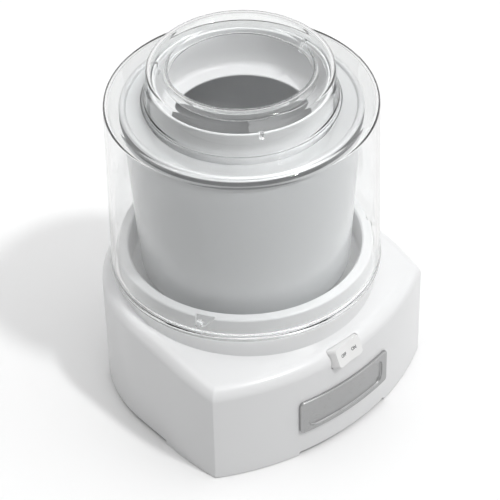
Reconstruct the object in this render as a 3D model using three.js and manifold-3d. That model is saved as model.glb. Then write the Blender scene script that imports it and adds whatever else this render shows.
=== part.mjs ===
// Countertop ice cream maker: a motor base that turns a freezer bowl while a fixed paddle scrapes it,
// under a clear lid with an ingredient spout. Millimetres, +Z up, front towards -Y.
// The origin is on the table, on the axis of the bowl.
import * as THREE from 'three';
import { mergeVertices } from 'three/addons/utils/BufferGeometryUtils.js';
import Module from 'manifold-3d';

const wasm = await Module();
wasm.setup();

// ---------- driving dimensions ----------
const rad = THREE.MathUtils.degToRad;
const seat = 0.3;                 // gap kept between pieces that touch
const runFit = 0.3;               // radial gap of a shaft in its bore
const roundSides = 36;            // sides of the large turned pieces
const smallSides = 16;            // sides of shafts and bosses
const motorSides = 32;
const screwSides = 8;
const past = 1;                   // how far a cutter reaches past the face it cuts
const farOff = 500;               // half length of a cutter that goes right through

// The bowl's rim sets the radii outwards and the base's front edge sets the heights upwards.
const bowl = {
  rimRadius: 87.4, rimWidth: 18.4, height: 143, footGap: 3, bandHeight: 5.8, bandWall: 1.2,
  taper: 3.2, bottomRound: 12, shellWall: 2.5, linerWall: 1.5, linerTaper: 3.2, linerRound: 14,
  gelFloor: 0.9, pocketGap: 3,
};
const base = {
  frontReach: 3, frontBulge: 203, sideInset: 4, sideStart: -40,
  wall: 3, wallFoot: 0.6, reliefTop: 3.6, frontRelief: 43.5, sideReliefFront: -31, sideReliefRear: 58,
  rearRelief: 38, shoulder: 11, frontEdge: 88, edgeRise: 11.5, edgeDelay: 8, edgePower: 3,
  footStep: 3, footRise: 8.6, footPower: 1.6, footLip: 0.25,
};
const well = { rise: 12, thickness: 3, lip: 1.2, corner: 2 };
const collar = { wall: 8.2, height: 16.3, round: 1.5 };
const drum = { ledgeWidth: 2.4, ledgeRise: 9.7 };
const notch = {
  count: 3, firstAngle: -61, depth: 2.3, width: 7, runDrop: 3.4, runAngle: 9, rampAngle: 8.5, rampFoot: 1.2,
};
const peg = { radius: 2.2, drop: 6.2, endGap: 0.5 };
const lid = {
  overhang: 3.8, draft: 3.2, thickness: 2.6, headroom: 8.8, edge: 5, bead: 2.6, beadStep: 0.9, footGap: 0.5,
  paddleGap: 0.8, neckSlope: 2.4, neckDraft: 0.6, collarFillet: 3, spoutRise: 15.5, spoutDepth: 13.5,
  boreGap: 0.2, spoutWall: 2.4, brow: 7, mouthFlare: 6, mouthDraft: 0.8,
};
const key = { count: 3, firstAngle: -28, width: 2.4, gap: 0.5, depth: 4.5 };
const paddle = {
  bowlGap: 3.8, ringWidth: 14.6, ringDraft: 1, ringRise: 23.5, rim: 0.5, wall: 2,
  flangeDip: 12, flangeChamfer: 1, cove: 2, angle: -58, vaneInset: 12.6, vaneThickness: 3.2, vaneChamfer: 16,
  vaneRoot: 18, wallGap: 3, floorGap: 2.5, barHeight: 15, barInner: 24,
};
const spindle = {
  radius: 6, shoulder: 3, tail: 3, nose: 2.5, noseRound: 1,
  bushWall: 3.4, bushFlange: 1.6, bushFlangeWidth: 3,
};
const boss = { wall: 4, height: 4.5 };
const seal = { height: 2 };
const hub = {
  skirtGap: 0.9, skirtWall: 3, skirtRoom: 7, disc: 2.6, edge: 0.8,
  lugs: 3, lugHeight: 3.5, lugWidth: 5, lugInset: 4,
};
const driveRing = { thickness: 2.7, lugInset: 2 };
const outputHub = { wall: 7, below: 4, above: 1 };
const firstStage = { module: 1, driver: 12, driven: 72, width: 5 };
const lastStage = { module: 1.5, driver: 12, driven: 60, width: 8 };
const toothPlay = 0.22;           // side play of the teeth, as a share of the module
// Tooth heights are shares of the module; wheels with many teeth have flanks in one piece.
const tooth = { pressureAngle: 20, rise: 0.9, drop: 1.25, rootLean: 0.8, tipLean: 1.15, plainFrom: 20 };
const gearRoof = 4;               // room over the compound gear
const gearStep = 3;               // from the compound wheel's top to the output gear
const pinionOverhang = 1;         // how far a pinion stands past the wheel it drives, on each side
const frame = {
  gearGap: 7, thickness: 3, wellInset: 1.4, right: 54, frontReach: 2.6, rear: 58, corner: 30,
  postRadius: 5, stackInset: 3,
};
const gearPosts = [{ x: 45, y: -45 }, { x: 40, y: 45 }, { x: -45, y: 50 }];
const motorPost = { before: 25 };
const axle = { radius: 3, flange: 6.5, tail: 2 };
const motor = {
  bore: 16, airGap: 0.6, shaft: 3,
  coilInset: 2, coilWidth: 7.5, coilHeight: 7.5, coilRound: 1.8, coilRoom: 2, coilGap: 0.9,
  rotorOverhang: 1, bracket: 2, leg: 7, legGap: 1.5, stackMargin: 1.5,
  boltRadius: 1.8, boltHead: 3.6, boltHeadHeight: 2.2, boltEnd: 4, bushWall: 4, bushRise: 3, shaftLift: 3.5,
};
const fan = {
  radius: 24, disc: 22, discThickness: 1.4, height: 7, hub: 6.5, rise: 0.5, boltGap: 0.5,
  blades: 7, bladeThickness: 1.6, pitch: 18,
};
const plateLow = {
  bottom: 3, thickness: 2.5, gap: 0.4, vents: 5, ventLength: 34, ventWidth: 3, ventPitch: 8,
};
// Screws and feet stand back from the base's sides, its front and its round rear.
const foot = {
  radius: 9, edge: 0.8, stem: 2.7, barb: 3.7, barbHeight: 3,
  screwGap: 1, frontInset: 44, rearAngle: 142,
};
const lowScrew = {
  head: 4, headHeight: 1.7, shank: 1.6, length: 16, boss: 4.5,
  sideInset: 13, frontInset: 48, rearInset: 10.9, rearAngle: 141,
};
const frameScrew = { head: 3.6, headHeight: 2, shank: 1.6, length: 12 };
const screwEdge = 0.8;
const nameplate = { halfWidth: 43.7, drop: 33, height: 30.7, thickness: 1.9, border: 3, pocket: 0.7 };
const rocker = {
  halfWidth: 15.5, height: 15, tilt: 25, pivotDepth: 6, proud: 0.6, swing: 7.5, plate: 1.5,
  stem: 6, stemHeight: 9.2, stemDepth: 9.4, slotGap: 0.6, pin: 1.2,
};
const switchCase = {
  ear: 2.2, earHalf: 4, earTop: 1.2, side: 5, floor: 3.5, depth: 9, wing: 4, bridge: 3,
};
const gland = {
  height: 28, bore: 3.2, body: 6, flange: 9, flangeThickness: 2, edge: 0.8, reach: 8.8, inside: 3.5,
};

// ---------- sizes that follow ----------
well.radius = bowl.rimRadius;
collar.radius = well.radius + collar.wall;
drum.radius = collar.radius + drum.ledgeWidth;
base.rearRadius = drum.radius + base.shoulder;
base.frontY = -base.rearRadius - base.frontReach;
base.cornerX = base.rearRadius - base.sideInset;
bowl.mouth = bowl.rimRadius - bowl.rimWidth;
paddle.ringRadius = bowl.mouth - paddle.bowlGap;
paddle.mouth = paddle.ringRadius - paddle.ringWidth;
paddle.vaneInner = paddle.mouth - paddle.vaneInset;
lid.radius = drum.radius + lid.overhang;
lid.neckRadius = paddle.ringRadius - paddle.ringDraft + lid.paddleGap + lid.spoutWall;
lid.collarRadius = lid.neckRadius + lid.neckSlope;
lid.spoutBore = paddle.mouth + lid.boreGap;
const bushInner = spindle.radius + runFit;
const bushOuter = bushInner + spindle.bushWall;
boss.radius = bushOuter + seat + boss.wall;
hub.radius = boss.radius + hub.skirtRoom + hub.skirtWall;
hub.lugInner = spindle.radius + hub.lugInset;
bowl.pocket = hub.radius + bowl.pocketGap;

base.footStart = base.frontEdge + base.footStep;
well.floor = base.frontEdge + well.rise;
drum.ledge = well.floor + drum.ledgeRise;
collar.top = drum.ledge + collar.height;
peg.height = collar.top - peg.drop;
// Heights of the coupling between the drive hub and the bowl.
const bossTop = well.floor + boss.height;
const hubTop = bossTop + seat + seal.height + seat + hub.disc;
const lugTop = hubTop + hub.lugHeight;
const ringFloor = lugTop + seat;
const pocketRoof = ringFloor + driveRing.thickness + seat;
bowl.bottom = well.floor + bowl.footGap;
bowl.rimTop = bowl.bottom + bowl.height;
bowl.floorTop = pocketRoof + bowl.shellWall + seat + bowl.gelFloor + seat + bowl.linerWall;
paddle.ringTop = bowl.rimTop + paddle.ringRise;
paddle.ringBottom = bowl.rimTop - paddle.flangeDip;
lid.top = bowl.rimTop + lid.headroom;
lid.collarHeight = paddle.ringTop + seat - lid.top;
lid.spoutTop = paddle.ringTop + lid.spoutRise;
nameplate.top = base.frontEdge - nameplate.drop;
nameplate.bottom = nameplate.top - nameplate.height;
// Heights inside the base: gears hang under the well's floor, the motor under the frame.
const roof = well.floor - well.thickness;
const compoundTop = roof - gearRoof;
const outputTop = compoundTop - pinionOverhang;
const outputBottom = outputTop - lastStage.width;
const wheelTop = outputBottom - gearStep;
const gearFloor = wheelTop - firstStage.width;
motor.coilInner = motor.bore + motor.coilInset;
motor.coilOuter = motor.coilInner + motor.coilWidth;
motor.boltOffset = motor.coilOuter / Math.SQRT2 + motor.leg / 2 + motor.legGap;
motor.halfStack = motor.boltOffset + motor.leg / 2 + motor.stackMargin;
frame.top = gearFloor - frame.gearGap;
frame.left = frame.wellInset - well.radius;
frame.front = -well.radius - frame.frontReach;
motor.x = frame.left + frame.stackInset + motor.halfStack;
motor.y = motor.x;
const frameBottom = frame.top - frame.thickness;
motorPost.x = motor.x + motor.halfStack + frame.postRadius;
motorPost.y = motor.y - motorPost.before;
const framePosts = [...gearPosts, motorPost];
const lowPlateTop = plateLow.bottom + plateLow.thickness;
const shaftFoot = lowPlateTop + motor.shaftLift;
const fanTop = shaftFoot + fan.rise + fan.height;
const lowBracketBottom = fanTop + fan.boltGap + motor.boltHeadHeight + seat;
const lowBracketTop = lowBracketBottom + motor.bracket;
const stackBottom = lowBracketTop + motor.coilRoom + motor.coilHeight;
const motorTop = frameBottom - seat;
const stackTop = motorTop - motor.bracket - motor.coilGap - motor.coilHeight - seat;

// ---------- materials ----------
function finish(color, roughness, metalness = 0, opacity = 1) {
  return new THREE.MeshStandardMaterial({
    color, roughness, metalness, opacity, transparent: opacity < 1,
  });
}
const finishes = {
  housing: () => finish(0xf2f3f3, 0.35),
  rocker: () => finish(0xf7f7f6, 0.3),
  clear: () => finish(0xf4f8f8, 0.05, 0, 0.3),
  bowlShell: () => finish(0xe4e6e7, 0.32),
  liner: () => finish(0xb4b7b9, 0.35, 1),
  gel: () => finish(0xbfdcec, 0.6, 0, 0.6),
  paddle: () => finish(0xf3f4f4, 0.38),
  nameplate: () => finish(0xa7a8aa, 0.4, 0.9),
  steel: () => finish(0x9b9ea1, 0.35, 1),
  zinc: () => finish(0xb9bcbe, 0.5, 0.9),
  bronze: () => finish(0xa87a46, 0.4, 0.9),
  copper: () => finish(0xb4683a, 0.45, 0.8),
  laminations: () => finish(0x6f7376, 0.55, 0.8),
  acetal: () => finish(0xe9e6dc, 0.4),
  rubber: () => finish(0x3c3d3f, 0.85),
  darkPlastic: () => finish(0x2b2c2e, 0.55),
};

// ---------- solids ----------
function weld(geometry) {
  geometry.deleteAttribute('normal');
  geometry.deleteAttribute('uv');
  const welded = mergeVertices(geometry, 1e-4);
  const at = welded.attributes.position;
  const corners = welded.index.array;
  const [a, b, c] = [new THREE.Vector3(), new THREE.Vector3(), new THREE.Vector3()];
  const kept = [];
  let volume = 0;
  for (let i = 0; i < corners.length; i += 3) {
    const [ia, ib, ic] = corners.slice(i, i + 3);
    if (ia === ib || ib === ic || ic === ia) continue;
    a.fromBufferAttribute(at, ia);
    b.fromBufferAttribute(at, ib);
    c.fromBufferAttribute(at, ic);
    volume += a.dot(b.cross(c));
    kept.push(ia, ib, ic);
  }
  if (volume < 0) kept.reverse();
  welded.setIndex(kept);
  return welded;
}

function solid(geometry) {
  const welded = weld(geometry);
  return new wasm.Manifold(new wasm.Mesh({
    numProp: 3,
    vertProperties: new Float32Array(welded.attributes.position.array),
    triVerts: new Uint32Array(welded.index.array),
  }));
}

function surface(manifold) {
  const mesh = manifold.getMesh();
  const geometry = new THREE.BufferGeometry();
  geometry.setAttribute('position', new THREE.BufferAttribute(mesh.vertProperties, 3));
  geometry.setIndex(new THREE.BufferAttribute(mesh.triVerts, 1));
  geometry.computeVertexNormals();
  return geometry;
}

// A profile of [radius, height] points, turned about the Z axis. It closes on itself.
function turned(profile, sides = roundSides) {
  const points = profile.map(([r, z]) => new THREE.Vector2(Math.max(r, 0), z));
  points.push(points[0].clone());
  return solid(new THREE.LatheGeometry(points, sides).rotateX(Math.PI / 2));
}

function ring(inner, outer, bottom, top, sides = smallSides) {
  return turned([[inner, bottom], [outer, bottom], [outer, top], [inner, top]], sides);
}

function rod(radius, bottom, top, sides = smallSides) {
  return solid(new THREE.CylinderGeometry(radius, radius, top - bottom, sides)
    .rotateX(Math.PI / 2).translate(0, 0, (top + bottom) / 2));
}

function block(x0, x1, y0, y1, z0, z1) {
  return solid(new THREE.BoxGeometry(x1 - x0, y1 - y0, z1 - z0)
    .translate((x0 + x1) / 2, (y0 + y1) / 2, (z0 + z1) / 2));
}

function prism(points, bottom, top) {
  const shape = new THREE.Shape(points.map(([x, y]) => new THREE.Vector2(x, y)));
  return solid(new THREE.ExtrudeGeometry(shape, { depth: top - bottom, bevelEnabled: false })
    .translate(0, 0, bottom));
}

// Closed solid through rings of [x, y, z] points that run anticlockwise and share their count.
function loft(rings, bottomCentre, topCentre) {
  const count = rings[0].length;
  const positions = rings.flat(2);
  const faces = [];
  for (let level = 0; level + 1 < rings.length; level += 1) {
    for (let i = 0; i < count; i += 1) {
      const next = (i + 1) % count;
      const [a, b] = [level * count + i, level * count + next];
      faces.push(a, b, b + count, a, b + count, a + count);
    }
  }
  const low = positions.length / 3;
  positions.push(...bottomCentre, ...topCentre);
  const last = (rings.length - 1) * count;
  for (let i = 0; i < count; i += 1) {
    const next = (i + 1) % count;
    faces.push(low, next, i, low + 1, last + i, last + next);
  }
  const geometry = new THREE.BufferGeometry();
  geometry.setAttribute('position', new THREE.Float32BufferAttribute(positions, 3));
  geometry.setIndex(faces);
  return solid(geometry);
}

// Quarter ellipse between two profile points. A rising one leaves the first point along Z.
function quarter(from, to, rising = true, steps = 2) {
  return Array.from({ length: steps + 1 }, (_, i) => {
    const t = (Math.PI / 2) * (i / steps);
    const [fast, slow] = [Math.sin(t), 1 - Math.cos(t)];
    const [u, v] = rising ? [slow, fast] : [fast, slow];
    return [from[0] + (to[0] - from[0]) * u, from[1] + (to[1] - from[1]) * v];
  });
}

function throughHole(radius, x = 0, y = 0, sides = smallSides) {
  return rod(radius, -farOff, farOff, sides).translate([x, y, 0]);
}

const joined = (pieces) => pieces.reduce((whole, piece) => whole.add(piece));
const turnedAbout = (piece, degrees) => piece.rotate([0, 0, degrees]);
const around = (count, firstAngle, make) => (
  Array.from({ length: count }, (_, i) => make(firstAngle + (i * 360) / count))
);

// Angles are measured from the front, positive towards +X.
const bearing = (angle) => angle - 90;
const pointAt = (angle, radius) => [radius * Math.sin(rad(angle)), -radius * Math.cos(rad(angle))];

// ---------- the base housing ----------
// Plan outline, moved inwards by inset: bulged front, sharp corners, straight sides and a round rear.
const frontCentreY = base.frontY + base.frontBulge;
const cornerY = frontCentreY - Math.sqrt(base.frontBulge ** 2 - base.cornerX ** 2);
const sideBulge = (base.sideInset ** 2 + (base.sideStart - cornerY) ** 2) / (2 * base.sideInset);

function insetCorner(inset) {
  const [frontR, sideR] = [base.frontBulge - inset, sideBulge - inset];
  const [sideX, sideY] = [base.rearRadius - sideBulge, base.sideStart];
  const gap = Math.hypot(sideX, frontCentreY - sideY);
  const along = (sideR ** 2 - frontR ** 2 + gap ** 2) / (2 * gap);
  const across = Math.sqrt(sideR ** 2 - along ** 2);
  const [ux, uy] = [-sideX / gap, (frontCentreY - sideY) / gap];
  return [sideX + ux * along + uy * across, sideY + uy * along - ux * across];
}

function planOutline(inset) {
  const [frontR, sideR, rearR] = [base.frontBulge - inset, sideBulge - inset, base.rearRadius - inset];
  const [cx, cy] = insetCorner(inset);
  const half = [];
  const frontSteps = 5;
  const sideSteps = 3;
  const rearSteps = 9;
  const frontAngle = Math.asin(cx / frontR);
  for (let i = 0; i < frontSteps; i += 1) {
    const t = (frontAngle * i) / frontSteps;
    half.push([frontR * Math.sin(t), frontCentreY - frontR * Math.cos(t)]);
  }
  const sideAngle = Math.asin((base.sideStart - cy) / sideR);
  for (let i = 0; i < sideSteps; i += 1) {
    const t = sideAngle * (1 - i / sideSteps);
    half.push([base.rearRadius - sideBulge + sideR * Math.cos(t), base.sideStart - sideR * Math.sin(t)]);
  }
  half.push([rearR, base.sideStart]);
  for (let i = 0; i <= rearSteps; i += 1) {
    const t = (Math.PI / 2) * (i / rearSteps);
    half.push([rearR * Math.cos(t), rearR * Math.sin(t)]);
  }
  const mirrored = half.slice(1, -1).reverse().map(([x, y]) => [-x, y]);
  return half.concat(mirrored);
}

// The top edge of the shoulder is level along the front and climbs towards the rear.
function climb(y, start, power) {
  const share = THREE.MathUtils.clamp((y - start) / (base.rearRadius - start), 0, 1);
  return 1 - (1 - share) ** power;
}
const edgeHeight = (y) => base.frontEdge + base.edgeRise * climb(y, cornerY + base.edgeDelay, base.edgePower);
function footHeight(y) {
  const rise = base.footRise * climb(y, -drum.radius, base.footPower);
  return Math.max(base.footStart + rise, edgeHeight(y) + base.footLip);
}

function pillow(skin, bottom, footRadius, apex) {
  const plan = planOutline(base.shoulder);
  const level = (inset, heightAt) => planOutline(inset).map(([x, y], i) => [x, y, heightAt(plan[i][1])]);
  const rings = [level(skin, () => bottom)];
  const steps = skin > 0 ? 2 : 3;
  const round = base.shoulder - skin;
  for (let i = 0; i <= steps; i += 1) {
    const t = (Math.PI / 2) * (i / steps);
    const inset = skin + round * (1 - Math.cos(t));
    rings.push(level(inset, (y) => edgeHeight(y) - skin - round * (1 - Math.sin(t))));
  }
  rings.push(plan.map(([x, y]) => {
    const angle = Math.atan2(y, x);
    const footY = footRadius * Math.sin(angle);
    return [footRadius * Math.cos(angle), footY, footHeight(footY) - skin];
  }));
  return loft(rings, [0, 0, bottom], [0, 0, apex]);
}

function bayonetNotch(angle) {
  const inner = collar.radius - notch.depth;
  const outer = collar.radius + notch.depth;
  const half = THREE.MathUtils.radToDeg(notch.width / 2 / collar.radius);
  const floor = peg.height - peg.radius - notch.rampFoot;
  const runTop = peg.height + peg.radius + notch.rampFoot;
  const above = collar.top + past;
  // [angle, height] outline on the collar's face: mouth, lead-in ramp on the right, locking run on the left
  const outline = [
    [angle - half - notch.runAngle, floor], [angle + half, floor],
    [angle + half + notch.rampAngle, collar.top - notch.runDrop], [angle + half + notch.rampAngle, above],
    [angle - half, above], [angle - half, runTop], [angle - half - notch.runAngle, runTop],
  ];
  const shape = new THREE.Shape(outline.map(([a, z]) => new THREE.Vector2(rad(a - angle), z)));
  const cutter = new THREE.ExtrudeGeometry(shape, { depth: outer - inner, bevelEnabled: false });
  const at = cutter.attributes.position;
  for (let i = 0; i < at.count; i += 1) {
    const [x, y] = pointAt(angle + THREE.MathUtils.radToDeg(at.getX(i)), inner + at.getZ(i));
    at.setXYZ(i, x, y, at.getY(i));
  }
  return solid(cutter);
}

// The rocker sits on the plane that touches the shoulder's round at this tilt.
const rockerTilt = rad(rocker.tilt);
const rockerCentre = new THREE.Vector3(
  0,
  base.frontY + base.shoulder * (1 - Math.cos(rockerTilt)),
  base.frontEdge - base.shoulder * (1 - Math.sin(rockerTilt)),
);
// Axes of the rocker's frame: x along the front, y up the slope, z out of the face.
const rockerFrame = new THREE.Matrix4().makeBasis(
  new THREE.Vector3(1, 0, 0),
  new THREE.Vector3(0, Math.sin(rockerTilt), Math.cos(rockerTilt)),
  new THREE.Vector3(0, -Math.cos(rockerTilt), Math.sin(rockerTilt)),
).setPosition(rockerCentre);

function placed(piece, matrix) {
  return piece.transform(matrix.elements);
}

// Places of four feet or screws in the base: front left, front right, rear left, rear right.
function underside({ sideInset, frontInset, rearInset, rearAngle }) {
  const front = [base.cornerX - sideInset, base.frontY + frontInset];
  const rear = pointAt(rearAngle, base.rearRadius - rearInset);
  return [front, rear].flatMap(([x, y]) => [[-x, y], [x, y]]);
}
foot.sideInset = lowScrew.sideInset + lowScrew.head + foot.screwGap + foot.radius;
foot.rearInset = lowScrew.rearInset + lowScrew.head + foot.screwGap + foot.radius;
const lowScrewSpots = underside(lowScrew);
const footSpots = underside(foot);
const lowScrewTop = plateLow.bottom + lowScrew.length;

function baseHousing() {
  const outside = pillow(0, base.wallFoot, drum.radius, well.floor);
  const head = turned([
    [0, roof], [drum.radius, base.footStart - 2 * base.wall],
    [drum.radius, drum.ledge], [collar.radius, drum.ledge],
    [collar.radius, collar.top - collar.round], [collar.radius - collar.round, collar.top], [0, collar.top],
  ]);
  const cavity = pillow(base.wall, base.wallFoot - past, drum.radius - base.wall, roof);
  const gearRoom = rod(well.radius - well.thickness, base.frontEdge / 2, roof, roundSides);
  const wellBore = turned([
    [0, well.floor], [well.radius - well.corner, well.floor], [well.radius, well.floor + well.corner],
    [well.radius, collar.top - well.lip], [well.radius + well.lip, collar.top],
    [well.radius + well.lip, collar.top + past], [0, collar.top + past],
  ]);
  const [near, far] = [base.rearRadius / 2, base.rearRadius * 2];
  const relief = (x0, x1, y0, y1) => block(x0, x1, y0, y1, base.wallFoot - past, base.reliefTop);
  const reliefs = [
    relief(-base.frontRelief, base.frontRelief, -far, -near),
    relief(-base.rearRelief, base.rearRelief, near, far),
    relief(-far, -near, base.sideReliefFront, base.sideReliefRear),
    relief(near, far, base.sideReliefFront, base.sideReliefRear),
  ];
  const slotY = rocker.height / 2 + rocker.slotGap;
  const switchSlot = placed(
    block(-rocker.halfWidth, rocker.halfWidth, -slotY, slotY, -2 * rocker.pivotDepth, rocker.pivotDepth),
    rockerFrame,
  );
  const glandR = gland.body + seat;
  const glandHole = solid(new THREE.CylinderGeometry(glandR, glandR, 2 * gland.reach, smallSides)
    .translate(0, base.rearRadius, gland.height));
  const posts = framePosts.map(({ x, y }) => rod(frame.postRadius, frame.top + seat, roof + past, screwSides)
    .translate([x, y, 0]));
  const screwBosses = lowScrewSpots.map(([x, y]) => rod(
    lowScrew.boss, lowPlateTop + seat, edgeHeight(y) - base.wall / 2, screwSides,
  ).translate([x, y, 0]));
  const spindleBoss = rod(boss.radius, roof, bossTop, roundSides / 2);
  const bores = [
    ...framePosts.map(({ x, y }) => rod(
      frameScrew.shank + seat, frame.top, frameBottom + frameScrew.length + seat, screwSides,
    ).translate([x, y, 0])),
    ...lowScrewSpots.map(([x, y]) => rod(
      lowScrew.shank + seat, plateLow.bottom, lowScrewTop + seat, screwSides,
    ).translate([x, y, 0])),
    throughHole(bushOuter + seat),
  ];
  const notches = around(notch.count, notch.firstAngle, bayonetNotch);
  const shell = joined([outside, head]).subtract(joined([cavity, gearRoom, wellBore]));
  return joined([shell, ...posts, ...screwBosses, spindleBoss])
    .subtract(joined([...reliefs, switchSlot, glandHole, ...bores, ...notches]));
}

// ---------- the lid ----------
function drafted(height) {
  return lid.radius - (lid.draft * (height - drum.ledge)) / (lid.top - drum.ledge);
}

function clearLid() {
  const bottom = drum.ledge + seat;
  const beadTop = bottom + lid.bead;
  const footR = collar.radius + lid.footGap;
  const [t, w] = [lid.thickness, lid.spoutWall];
  const wallTop = lid.top - lid.edge;
  const edgeR = drafted(wallTop) - lid.edge;
  const neckTop = lid.spoutTop - lid.brow;
  const neckR = lid.neckRadius - lid.neckDraft;
  const bore = lid.spoutBore;
  const spoutFoot = lid.spoutTop - lid.spoutDepth;
  const shell = turned([
    [footR, bottom], [lid.radius, bottom], [lid.radius, beadTop],
    [drafted(beadTop) - lid.beadStep, beadTop + lid.beadStep],
    ...quarter([drafted(wallTop), wallTop], [edgeR, lid.top]),
    [lid.collarRadius + lid.collarFillet, lid.top], [lid.collarRadius, lid.top + lid.collarFillet],
    [lid.neckRadius, lid.top + lid.collarHeight],
    ...quarter([neckR, neckTop], [neckR - lid.brow, lid.spoutTop]),
    ...quarter([bore + lid.mouthFlare, lid.spoutTop], [bore + lid.mouthDraft, neckTop], false),
    [bore, spoutFoot], [bore + w, spoutFoot], [bore + w + lid.mouthDraft, neckTop],
    [bore + w + lid.collarFillet, lid.spoutTop - w], [neckR - w - lid.collarFillet, lid.spoutTop - w],
    [neckR - w, neckTop], [lid.neckRadius - w, lid.top + lid.collarHeight - w],
    [lid.collarRadius - w, lid.top + lid.collarFillet - w],
    [lid.collarRadius + lid.collarFillet - w, lid.top - t],
    [edgeR, lid.top - t], [drafted(wallTop) - t, wallTop - seat],
    [drafted(beadTop) - lid.beadStep - t, beadTop + t], [footR, beadTop],
  ]);
  const pegInner = collar.radius - notch.depth + peg.endGap;
  const pegOuter = drafted(peg.height) - t / 2;
  const pegs = around(notch.count, notch.firstAngle, (angle) => turnedAbout(
    solid(new THREE.CylinderGeometry(peg.radius, peg.radius, pegOuter - pegInner, smallSides)
      .rotateZ(Math.PI / 2).translate((pegInner + pegOuter) / 2, 0, peg.height)),
    bearing(angle),
  ));
  const keyOuter = lid.neckRadius - w / 2;
  const keys = around(key.count, key.firstAngle, (angle) => turnedAbout(block(
    keyOuter - key.depth, keyOuter, -key.width / 2, key.width / 2,
    paddle.ringTop - key.depth, neckTop,
  ), bearing(angle)));
  return joined([shell, ...pegs, ...keys]);
}

// ---------- the freezer bowl ----------
const slope = Math.tan(rad(bowl.taper));
const linerSlope = Math.tan(rad(bowl.linerTaper));
const bandBottom = bowl.rimTop - bowl.bandHeight;
const shellTop = bowl.rimTop - bowl.linerWall - seat;
const shellRadius = (z) => bowl.rimRadius - bowl.bandWall - seat - (shellTop - z) * slope;
const linerRadius = (z) => bowl.mouth - (bowl.rimTop - z) * linerSlope;
const gelGap = seat;

// Quarter round of a turned bottom edge, from the flat to the wall.
function bottomRound(wallRadiusAt, flat, round, offset = 0) {
  const steps = 3;
  const centre = [wallRadiusAt(flat + round) - round, flat + round];
  return Array.from({ length: steps + 1 }, (_, i) => {
    const t = (Math.PI / 2) * (i / steps);
    return [centre[0] + (round + offset) * Math.sin(t), centre[1] - (round + offset) * Math.cos(t)];
  });
}

function bowlShell() {
  const w = bowl.shellWall;
  return turned([
    [bowl.pocket, bowl.bottom], ...bottomRound(shellRadius, bowl.bottom, bowl.bottomRound),
    [shellRadius(shellTop), shellTop], [shellRadius(shellTop) - w, shellTop],
    ...bottomRound(shellRadius, bowl.bottom, bowl.bottomRound, -w).reverse(),
    [bowl.pocket + w, bowl.bottom + w], [bowl.pocket + w, pocketRoof + w], [0, pocketRoof + w],
    [0, pocketRoof], [bowl.pocket, pocketRoof],
  ]);
}

function bowlLiner() {
  const w = bowl.linerWall;
  const flat = bowl.floorTop;
  return turned([
    [0, flat - w], ...bottomRound(linerRadius, flat, bowl.linerRound, w),
    [linerRadius(bowl.rimTop - w - 1) + w, bowl.rimTop - w - 1], [bowl.mouth + w + 1, bowl.rimTop - w],
    [bowl.rimRadius - bowl.bandWall, bowl.rimTop - w], [bowl.rimRadius - bowl.bandWall, bandBottom],
    [bowl.rimRadius, bandBottom], [bowl.rimRadius, bowl.rimTop - 1], [bowl.rimRadius - 1, bowl.rimTop],
    [bowl.mouth + 1, bowl.rimTop], [bowl.mouth, bowl.rimTop - 1],
    ...bottomRound(linerRadius, flat, bowl.linerRound).reverse(), [0, flat],
  ]);
}

function bowlGel() {
  const [s, w] = [bowl.shellWall + gelGap, bowl.linerWall + gelGap];
  const top = shellTop - 3;
  const pocket = bowl.pocket + s;
  return turned([
    [pocket, bowl.bottom + s], ...bottomRound(shellRadius, bowl.bottom, bowl.bottomRound, -s),
    [shellRadius(top) - s, top], [linerRadius(top) + w, top],
    ...bottomRound(linerRadius, bowl.floorTop, bowl.linerRound, w).reverse(),
    [0, bowl.floorTop - w], [0, pocketRoof + s], [pocket, pocketRoof + s],
  ]);
}

// Lugs stand between those of the hub, half a pitch round.
function lugs(bottom, top, inner, outer, turn) {
  return around(hub.lugs, turn, (angle) => turnedAbout(
    block(inner, outer, -hub.lugWidth / 2, hub.lugWidth / 2, bottom, top),
    bearing(angle),
  ));
}

function bowlDriveRing() {
  const plateTop = ringFloor + driveRing.thickness;
  const plate = ring(hub.lugInner, bowl.pocket - seat, ringFloor, plateTop, roundSides / 2);
  const lugInner = hub.lugInner + driveRing.lugInset;
  const [lugLow, lugHigh] = [hubTop + seat, ringFloor + hub.edge];
  const ringLugs = lugs(lugLow, lugHigh, lugInner, hub.radius - hub.edge, 180 / hub.lugs);
  return joined([plate, ...ringLugs]);
}

// ---------- the paddle ----------
function paddleBlade() {
  const low = bowl.floorTop + paddle.floorGap;
  const vaneOuter = (z) => linerRadius(z) - paddle.wallGap;
  const ringInside = paddle.mouth + paddle.wall / 2;
  const upper = paddle.ringBottom + paddle.wall / 2;
  const chamfer = paddle.vaneChamfer;
  const barTop = low + paddle.barHeight;
  // radial outline of the vane: down the bowl's wall, along its floor and back up inside
  const outline = [
    [0, low], [vaneOuter(low) - chamfer, low], [vaneOuter(low + chamfer), low + chamfer],
    [paddle.ringRadius - paddle.wall, paddle.ringBottom], [paddle.ringRadius - paddle.wall, upper],
    [ringInside, upper], [ringInside, paddle.ringBottom - paddle.wall],
    [paddle.vaneInner, paddle.ringBottom - paddle.vaneRoot], [paddle.vaneInner, barTop + chamfer],
    [paddle.barInner, barTop], [0, barTop],
  ];
  const shape = new THREE.Shape(outline.map(([r, z]) => new THREE.Vector2(r, z)));
  const half = paddle.vaneThickness / 2;
  return solid(new THREE.ExtrudeGeometry(shape, { depth: 2 * half, bevelEnabled: false })
    .translate(0, 0, -half).rotateX(Math.PI / 2));
}

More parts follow.
